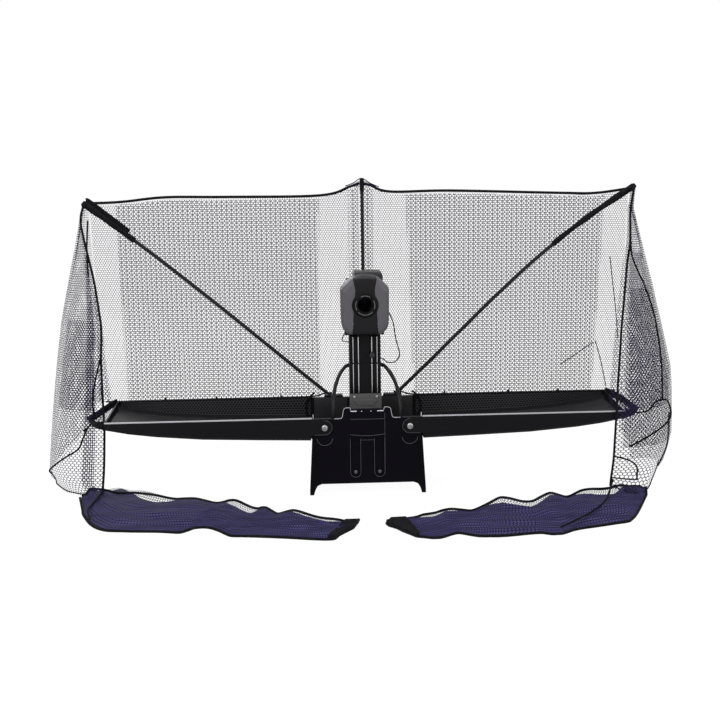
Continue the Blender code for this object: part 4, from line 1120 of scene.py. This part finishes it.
def stripe_outline(grow):
    """Outline of the dark stripe, which swells round the nozzle."""
    edge = [(x + grow, z) for x, z in ((0.0375, 0.43), (0.0373, 0.4545), (0.0361, 0.4745),
                                       (0.0338, 0.506))]
    radius, low, high = 0.0378 + grow, math.radians(-29.0), math.radians(40.0)
    for i in range(33):
        turn = low + (high - low) * i / 32
        edge.append((radius * math.cos(turn), NOZZLE_Z + radius * math.sin(turn)))
    edge += [(x + grow, z) for x, z in ((0.0271, 0.587), (0.0322, 0.6105), (0.0347, 0.6253),
                                        (0.0347, 0.66))]
    return edge + [(-x, z) for x, z in reversed(edge)]


def slab(outline, front, back):
    return loft([[(x, y, z) for x, z in outline] for y in (front, back)])


def carve(piece, made, operation):
    """Cut a helper shape out of a piece, or keep only what they share."""
    helper = place("helper", *made, black_plastic, None, None)
    settle(piece, "BOOLEAN", object=helper, operation=operation, solver="EXACT")
    bpy.data.objects.remove(helper)


shell_plastic = moulded("satin_grey_shell", (0.06, 0.057, 0.064),
                        (0.09, 0.086, 0.097), 0.4, 0.14)
stripe_plastic = moulded("dark_face_stripe", (0.007, 0.007, 0.008),
                         (0.011, 0.011, 0.0122), 0.36, 0.08)
boss_plastic = moulded("black_nozzle_boss", (0.0038, 0.0038, 0.0042),
                       (0.006, 0.006, 0.0066), 0.36, 0.05)
keep_clear = block((-0.1, 0.1), (-0.044, 0.05), (0.4, 0.4795))
for side, sign in SIDES.items():
    shell = place("grey_shell_" + side, *dome(), shell_plastic, None, "head_shell_" + side)
    carve(shell, keep_clear, "DIFFERENCE")
    carve(shell, slab(stripe_outline(FIT), -0.12, 0.05), "DIFFERENCE")
    carve(shell, block(sorted((-sign * 0.2, 0.0)), (-0.2, 0.1), (0.3, 0.8)), "DIFFERENCE")
    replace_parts(round_edges(shell, 0.0007, 50, 40.0, "head"), "head_shell_" + side)
stripe = place("dark_stripe", *dome(), stripe_plastic, None, "face_stripe")
carve(stripe, keep_clear, "DIFFERENCE")
carve(stripe, slab(stripe_outline(0.0), -0.12, 0.05), "INTERSECT")
hole = rod([(0, -0.12, NOZZLE_Z), (0, -0.05, NOZZLE_Z)], NOZZLE_R, 48)
carve(stripe, hole, "DIFFERENCE")
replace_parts(round_edges(stripe, 0.0007, 50, 40.0, "head"), "face_stripe")
print("head shells cut from one dome")

# %% [markdown]
# ## Nozzle ring
#
# Round the nozzle sits a raised boss with four paler arcs let into it. A turned profile
# gives the boss; each arc is a short bead that follows a circle.


# %% Nozzle ring
def turned(profile, count=64):
    """Spin pairs of radius and depth about the nozzle's own axis."""
    rings = []
    for k in range(count):
        a = math.tau * k / count
        rings.append([(r * math.cos(a), depth, NOZZLE_Z + r * math.sin(a)) for r, depth in profile])
    points = [p for ring in rings for p in ring]
    n = len(profile)
    faces = []
    for k in range(count):
        here, after = k * n, (k + 1) % count * n
        faces += [[here + i, here + (i + 1) % n, after + (i + 1) % n, after + i] for i in range(n)]
    return points, faces


def arc_bead(radius, start, end, depth, thick, count=18):
    turn = [math.radians(start + (end - start) * k / count) for k in range(count + 1)]
    line = [(radius * math.cos(a), depth, NOZZLE_Z + radius * math.sin(a)) for a in turn]
    return rod(line, thick)


front = FACE_FRONT - 0.0004
boss = turned([(r, front + depth) for r, depth in (
    (NOZZLE_R + 0.0006, 0.004), (NOZZLE_R + 0.0006, -0.0022), (0.0236, -0.0034),
    (0.03, -0.0034), (0.033, -0.0024), (0.0355, -0.0012), (0.0362, 0.0002))])
stand_in("nozzle_boss", boss, boss_plastic, "head", "nozzle_ring", 40.0)
beads = [arc_bead(0.0272, a, b, front - 0.0032, 0.0008)
         for a, b in ((62, 118), (152, 208), (222, 318), (-22, 30))]
place("nozzle_arcs", *join(*beads), ring_grey, "head", "nozzle_ring")
liner = turned([(NOZZLE_R - 0.0002, -0.066), (NOZZLE_R - 0.0002, front - 0.0018),
                (NOZZLE_R + 0.0004, front - 0.0018), (NOZZLE_R + 0.0004, -0.066)])
place("nozzle_liner", *liner, black_plastic, "head", "face_stripe", 40.0)
print("nozzle ring with", len(beads), "arcs")

# %% [markdown]
# ## Rails, knob and guard rods
#
# The two grooved rails guide the sliding part of the tower. Light shows only on their two
# narrow front edges, so the profile is drawn with those edges and a deep groove between.

# %% Rails
TOWER_FRONT, TOWER_SEAM_Z, TOWER_TOP_Z, COVER_TOP_Z = -0.03, 0.367, 0.4467, 0.277


def rail(sign, low, high):
    """A grooved rail between two heights."""
    back, face, floor = TOWER_FRONT - FIT, TOWER_FRONT - 0.006, TOWER_FRONT - 0.0018
    plan = [(0.0176, back), (0.0176, face), (0.021, face), (0.021, floor), (0.033, floor),
            (0.033, face), (0.0362, face), (0.0362, floor + 0.0004), (0.0452, floor + 0.0004),
            (0.0452, back)]
    plan = [(sign * x, y) for x, y in plan]
    return loft([[(x, y, z) for x, y in plan] for z in (low, high)])


for side, sign in SIDES.items():
    for part, body, low, high in (("lower", "base", COVER_TOP_Z + 0.0005, TOWER_SEAM_Z - FIT),
                                  ("upper", "carriage", TOWER_SEAM_Z + FIT, TOWER_TOP_Z - 0.0005)):
        piece = shaped(f"rail_{part}_{side}_profile", rail(sign, low, high), tower_plastic, body,
                       f"rail_{part}_{side}", 0.0004)
        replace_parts(piece, f"rail_{part}_{side}")
        edges = []
        for x, half in ((0.0193, 0.0011), (0.0346, 0.0009)):
            edges.append(block(sorted((sign * (x - half), sign * (x + half))),
                               (TOWER_FRONT - 0.0066, TOWER_FRONT - 0.0056),
                               (low + 0.0015, high - 0.0015)))
        shaped(f"rail_{part}_{side}_edges", join(*edges), rail_metal, body,
               f"rail_{part}_{side}", 0.0003)

KNOB_AT = (0.0197, TOWER_FRONT - 0.006 - 2 * FIT, 0.392)
profile = []
for depth, grow in ((0.0, 0.94), (-0.001, 1.0), (-0.01, 1.0), (-0.0118, 0.93), (-0.0125, 0.8)):
    ring = []
    for k in range(96):
        a = math.tau * k / 96
        r = 0.0078 * grow * (1 - 0.045 * (1 + math.cos(24 * a)) / 2)
        ring.append((KNOB_AT[0] + r * math.cos(a), KNOB_AT[1] + depth,
                     KNOB_AT[2] + r * math.sin(a)))
    profile.append(ring)
stand_in("knurled_knob", loft(profile), box_plastic, "knob", "height_knob", 30.0)

GUARD_R = 0.0047
BENDS = metres(((58, -8, 352), (74, -26, 334), (87, -55, 308), (93.5, -80, 278), (95.5, -95, 248),
                (95.5, -96.5, 230)))
for side, sign in SIDES.items():
    start = Vector((sign * (TOWER_HALF + FIT), -0.004, 0.356))
    bends = [(sign * x, y, z) for x, y, z in BENDS]
    line = smooth_line([start + Vector((sign * 0.004, 0, 0)), *bends], 8)
    line = [start] + line + [Vector((sign * 0.0955, -0.0965, 0.2053))]
    stand_in("guard_bar_" + side, rod(line, GUARD_R + 0.0006, 20), tube_paint, "base",
             "guard_rod_" + side)
print("rails, knob and guard rods done")

# %% [markdown]
# ## Small things on the front panel
#
# A pale bead of painted highlight runs along the panel's top edge and its bumps. Below each
# pivot the moulding carries a rounded ridge, and the folding lip is marked by pale inserts.
# Thin grey beads of painted highlight trace the ridges, slots, lug edges, creases and cross bar.

# %% Panel details
PANEL_FRONT, PIVOT_X, PIVOT_Z = -0.118, 0.1215, 0.201
LUG_R, SLOT_X, SLOT_HALF, SLOT_LOW_Z, SLOT_TOP_Z = 0.022, 0.0345, 0.0147, 0.066, 0.168
WING_FRONT = -0.1225
# pairs of radius and depth
SLOT_BOLT = ((0.005, 0.0046), (0.005, 0.0022), (0.004, 0.0012), (0.0016, 0.0009))
PIVOT_DOME = ((0.0093, 0.0002), (0.0093, 0.005), (0.008, 0.0068), (0.0055, 0.0078),
              (0.0036, 0.008), (0.003, 0.0066))
SEAL_SECTION = [(-0.0009, -0.003), (0.0009, -0.003), (0.0009, 0.003), (-0.0009, 0.003)]
ON_PANEL, ON_WING = PANEL_FRONT - 0.0002, WING_FRONT - 0.0001  # just proud of the solids


def arc_line(middle_x, middle_z, radius, depth, start, end, step):
    """Points of an arc in the plane of the panel."""
    turns = [math.radians(a) for a in range(start, end + 1, step)]
    return [(middle_x + radius * math.cos(a), depth, middle_z + radius * math.sin(a))
            for a in turns]


def spun(middle_x, middle_z, profile):
    """Spin pairs of radius and depth about a line along Y."""
    return loft([[(middle_x + x, depth, middle_z + z) for x, z in disc(r, 32)]
                 for r, depth in profile])


def highlight_edge(name, line, radius, body="base", slot="front_panel"):
    """A thin grey bead of painted highlight along a line."""
    place(name, *rod(line, radius), highlight_and_bolt_grey, body, slot)


for side, sign in SIDES.items():
    line = [(0.0945, 0.2255), (0.078, 0.2255), (0.0712, 0.23), (0.0672, 0.25), (0.0625, 0.2555),
            (0.052, 0.2568), (0.0488, 0.2555), (0.0475, 0.249)]
    line = smooth_line([(sign * x, PANEL_FRONT - 0.0004, z) for x, z in line], 5)
    # the bead is painted highlight: the light line along the panel's top edge and over its bumps
    place("panel_bead_" + side, *rod(line, 0.0009), lip_highlight_grey, "base", "front_panel")
    # the ridge, slot and lug lines below are thin grey beads of painted highlight on real edges
    ridge = arc_line(sign * PIVOT_X, 0.17, 0.0225, ON_PANEL, 186, 354, 7)
    highlight_edge("panel_ridge_" + side, ridge, 0.0007)
    slot = arc_line(sign * SLOT_X, SLOT_LOW_Z, SLOT_HALF, ON_PANEL, 180, 360, 12)
    ends = [(sign * SLOT_X + x, ON_PANEL, SLOT_TOP_Z - 0.002) for x in (-SLOT_HALF, SLOT_HALF)]
    slot = [ends[0], *slot, ends[1]]
    highlight_edge("slot_edge_" + side, slot, 0.0006)
    bolt = spun(sign * SLOT_X, SLOT_LOW_Z, [(r, PANEL_FRONT + depth) for r, depth in SLOT_BOLT])
    place("slot_bolt_" + side, *bolt, highlight_and_bolt_grey, "base", "front_panel", 40.0)
    lug_turns, seal_turns = ((-90, 90), (120, 232)) if sign < 0 else ((90, 270), (-52, 60))
    lug = arc_line(sign * PIVOT_X, PIVOT_Z, LUG_R - 0.001, ON_WING, *lug_turns, 8)
    far = [(sign * 0.15, ON_WING, PIVOT_Z - LUG_R + 0.001)]
    lug = (far + lug) if sign < 0 else (lug + far)
    highlight_edge("lug_edge_" + side, lug, 0.0006, "wing_" + side, "trough_" + side)
    dome_steps = [(r, WING_FRONT - depth) for r, depth in PIVOT_DOME]
    place("pivot_dome_" + side, *spun(sign * PIVOT_X, PIVOT_Z, dome_steps), bolt_steel, "base",
          "pivot_bolt_" + side, 40.0)
    seal = arc_line(sign * PIVOT_X, PIVOT_Z, 0.0533, 0.118, *seal_turns, 8)
    place("inner_seal_" + side, *sweep(seal, SEAL_SECTION), black_plastic, "base", "hopper_tub")
    panel = block(sorted((sign * 0.05, sign * 0.1495)), (0.1222, 0.124), (0.164, 0.2312))
    shaped("rear_liner_" + side, panel, liner_grey, "base", "hopper_tub", 0.0006)
    tick = block(sorted((sign * 0.153, sign * 0.1545)), (WING_FRONT + 0.004, WING_FRONT + 0.0052),
                 (0.2262, 0.239))
    place("cheek_tick_" + side, *tick, pale_trim, "base", "hopper_tub")
    heads = [rod([(sign * x, 0.139, z) for z in (0.2362, 0.24)], 0.0042, 16)
             for x in (0.068, 0.11)]
    place("bracket_screws_" + side, *join(*heads), bright_steel, "base", "pole_bracket_" + side)

inserts = [block((x - w, x + w), (PANEL_FRONT - 0.0012, PANEL_FRONT + 0.0004), (z - h, z + h))
           for x, w, z, h in ((-0.0385, 0.0085, 0.2462, 0.0011), (0.0375, 0.009, 0.2462, 0.0011),
                              (-0.016, 0.0014, 0.2455, 0.001), (0.011, 0.0014, 0.2455, 0.001))]
place("lip_inserts", *join(*inserts), pale_trim, "base", "front_panel")
# the crease and cross bar lines are thin grey beads of painted highlight along real grooves and
# edges
CREASES = (((-0.005, 0.161), (-0.019, 0.1612), (-0.0195, 0.15)),
           ((-0.005, 0.161), (0.019, 0.1608), (0.0195, 0.15)),
           ((0.05, 0.24), (0.0495, 0.06)), ((-0.048, 0.2225), (0.047, 0.2222)))
creases = [rod([(x, ON_PANEL, z) for x, z in line], 0.0006, 6) for line in CREASES]
place("panel_creases", *join(*creases), highlight_and_bolt_grey, "base", "front_panel")
arch = smooth_line([(x, PANEL_FRONT - 0.0022, 0.1742 + 0.0045 * (x / 0.05) ** 2)
                    for x in (0.05 * t / 6 for t in range(-6, 7))], 3)
highlight_edge("cross_bar_edge", arch, 0.0007)
print("panel details done")

# %% [markdown]
# ## Net lining inside the troughs
#
# A dark net lies in each trough, so that balls roll softly. It is knitted like the others and
# follows the trough: down behind the lip, along the sloping floor, up the rear wall.

# %% Trough lining
LINING_FLAT, LINING_SHARE = (0.575, 0.36), 0.42
WING_FLOOR = metres(((157, 163), (300, 167), (467, 173), (600, 184), (673, 193.5), (738, 207)))


def lining(sign):
    """Front wall, floor and rear wall of a trough, from front to back."""
    floor_line = np.array(WING_FLOOR)

    def spot(u, v):
        x = 0.16 + (0.735 - 0.16) * u
        floor_z = np.interp(x, floor_line[:, 0], floor_line[:, 1]) + 0.005
        y = -0.115 + 0.234 * np.clip((v - 0.16) / 0.66, 0, 1)
        front = np.clip(1 - v / 0.16, 0, 1)
        back = np.clip((v - 0.82) / 0.18, 0, 1)
        z = floor_z + (0.2215 - floor_z) * front + (0.231 - floor_z) * back
        return sign * x, y - 0.0035 * front + 0.002 * back, z

    return spot


for side, sign in SIDES.items():
    net = knit(f"trough_lining_{side}", lining(sign), *LINING_FLAT, 0.009, LINING_SHARE,
               lining_grey, "wing_" + side, "trough_" + side)
    net_sheet(net, *LINING_FLAT, LINING_SHARE, [f"trough_{side}"], "laid")
print("trough linings done")

# %% [markdown]
# ## Floor, light and background
#
# The floor and the sky are white for the camera, so the cut-out look of the photograph comes
# from their own colour. Three soft lamps light the front and top, and a fourth the rear.


# %% Stage
def white_floor():
    finish = Finish("white_studio_floor")
    rays = finish.node("ShaderNodeLightPath", out="Is Camera Ray").socket.node.outputs
    seen = Value(finish, rays["Is Camera Ray"]).larger(Value(finish, rays["Is Glossy Ray"]))
    seen = seen.larger(Value(finish, rays["Is Transmission Ray"]))
    grain = finish.noise(3.0, 2.0, 0.5)
    shade = finish.blend(grain, (0.8, 0.8, 0.8), (0.82, 0.82, 0.82))
    matte = finish.node("ShaderNodeBsdfDiffuse", None, {"Color": shade})
    glow = finish.node("ShaderNodeEmission", None, {"Color": (1, 1, 1, 1), "Strength": 1.06})
    mixed = finish.node("ShaderNodeMixShader", None, {0: seen * 0.9, 1: matte, 2: glow})
    finish.tree.links.new(mixed.socket, finish.end.inputs["Surface"])
    return finish.material


reach = 14.0
corners = [(-reach, -reach, 0), (reach, -reach, 0), (reach, reach, 0), (-reach, reach, 0)]
floor = place("studio_floor", corners, [[0, 1, 2, 3]], white_floor(), None, None)
floor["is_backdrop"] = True

world = bpy.data.worlds.new("studio")
bpy.context.scene.world = world
world.use_nodes = True
sky = world.node_tree
background = sky.nodes["Background"]
rays = sky.nodes.new("ShaderNodeLightPath")
seen = rays.outputs["Is Camera Ray"]
for kind in ("Transmission", "Glossy"):
    larger = sky.nodes.new("ShaderNodeMath")
    larger.operation = "MAXIMUM"
    sky.links.new(seen, larger.inputs[0])
    sky.links.new(rays.outputs[f"Is {kind} Ray"], larger.inputs[1])
    seen = larger.outputs[0]
strength = sky.nodes.new("ShaderNodeMapRange")
strength.inputs["To Min"].default_value = 0.55
strength.inputs["To Max"].default_value = 1.0
sky.links.new(seen, strength.inputs["Value"])
sky.links.new(strength.outputs["Result"], background.inputs["Strength"])
background.inputs["Color"].default_value = (1, 1, 1, 1)


def lamp(name, at, toward, wide, power):
    light = bpy.data.lights.new(name, "AREA")
    light.shape, light.size, light.energy = "SQUARE", wide, power
    thing = bpy.data.objects.new(name, light)
    bpy.context.scene.collection.objects.link(thing)
    thing.location = at
    thing.rotation_euler = (Vector(toward) - Vector(at)).to_track_quat("-Z", "Y").to_euler()


lamp("key_lamp", (-2.2, -2.6, 2.6), (0, 0, 0.4), 1.8, 90)
lamp("fill_lamp", (2.6, -2.2, 1.8), (0, 0, 0.4), 1.6, 45)
lamp("top_lamp", (0.0, 0.6, 3.0), (0, 0.1, 0.3), 2.2, 50)
lamp("rear_lamp", (-1.2, 3.0, 2.0), (0, 0, 0.4), 1.8, 55)
bpy.context.scene.view_settings.view_transform = "Standard"
print("stage set")

# %% Sizes, and the end
low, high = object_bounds()
print("visual model measures", [round(v, 3) for v in high - low])
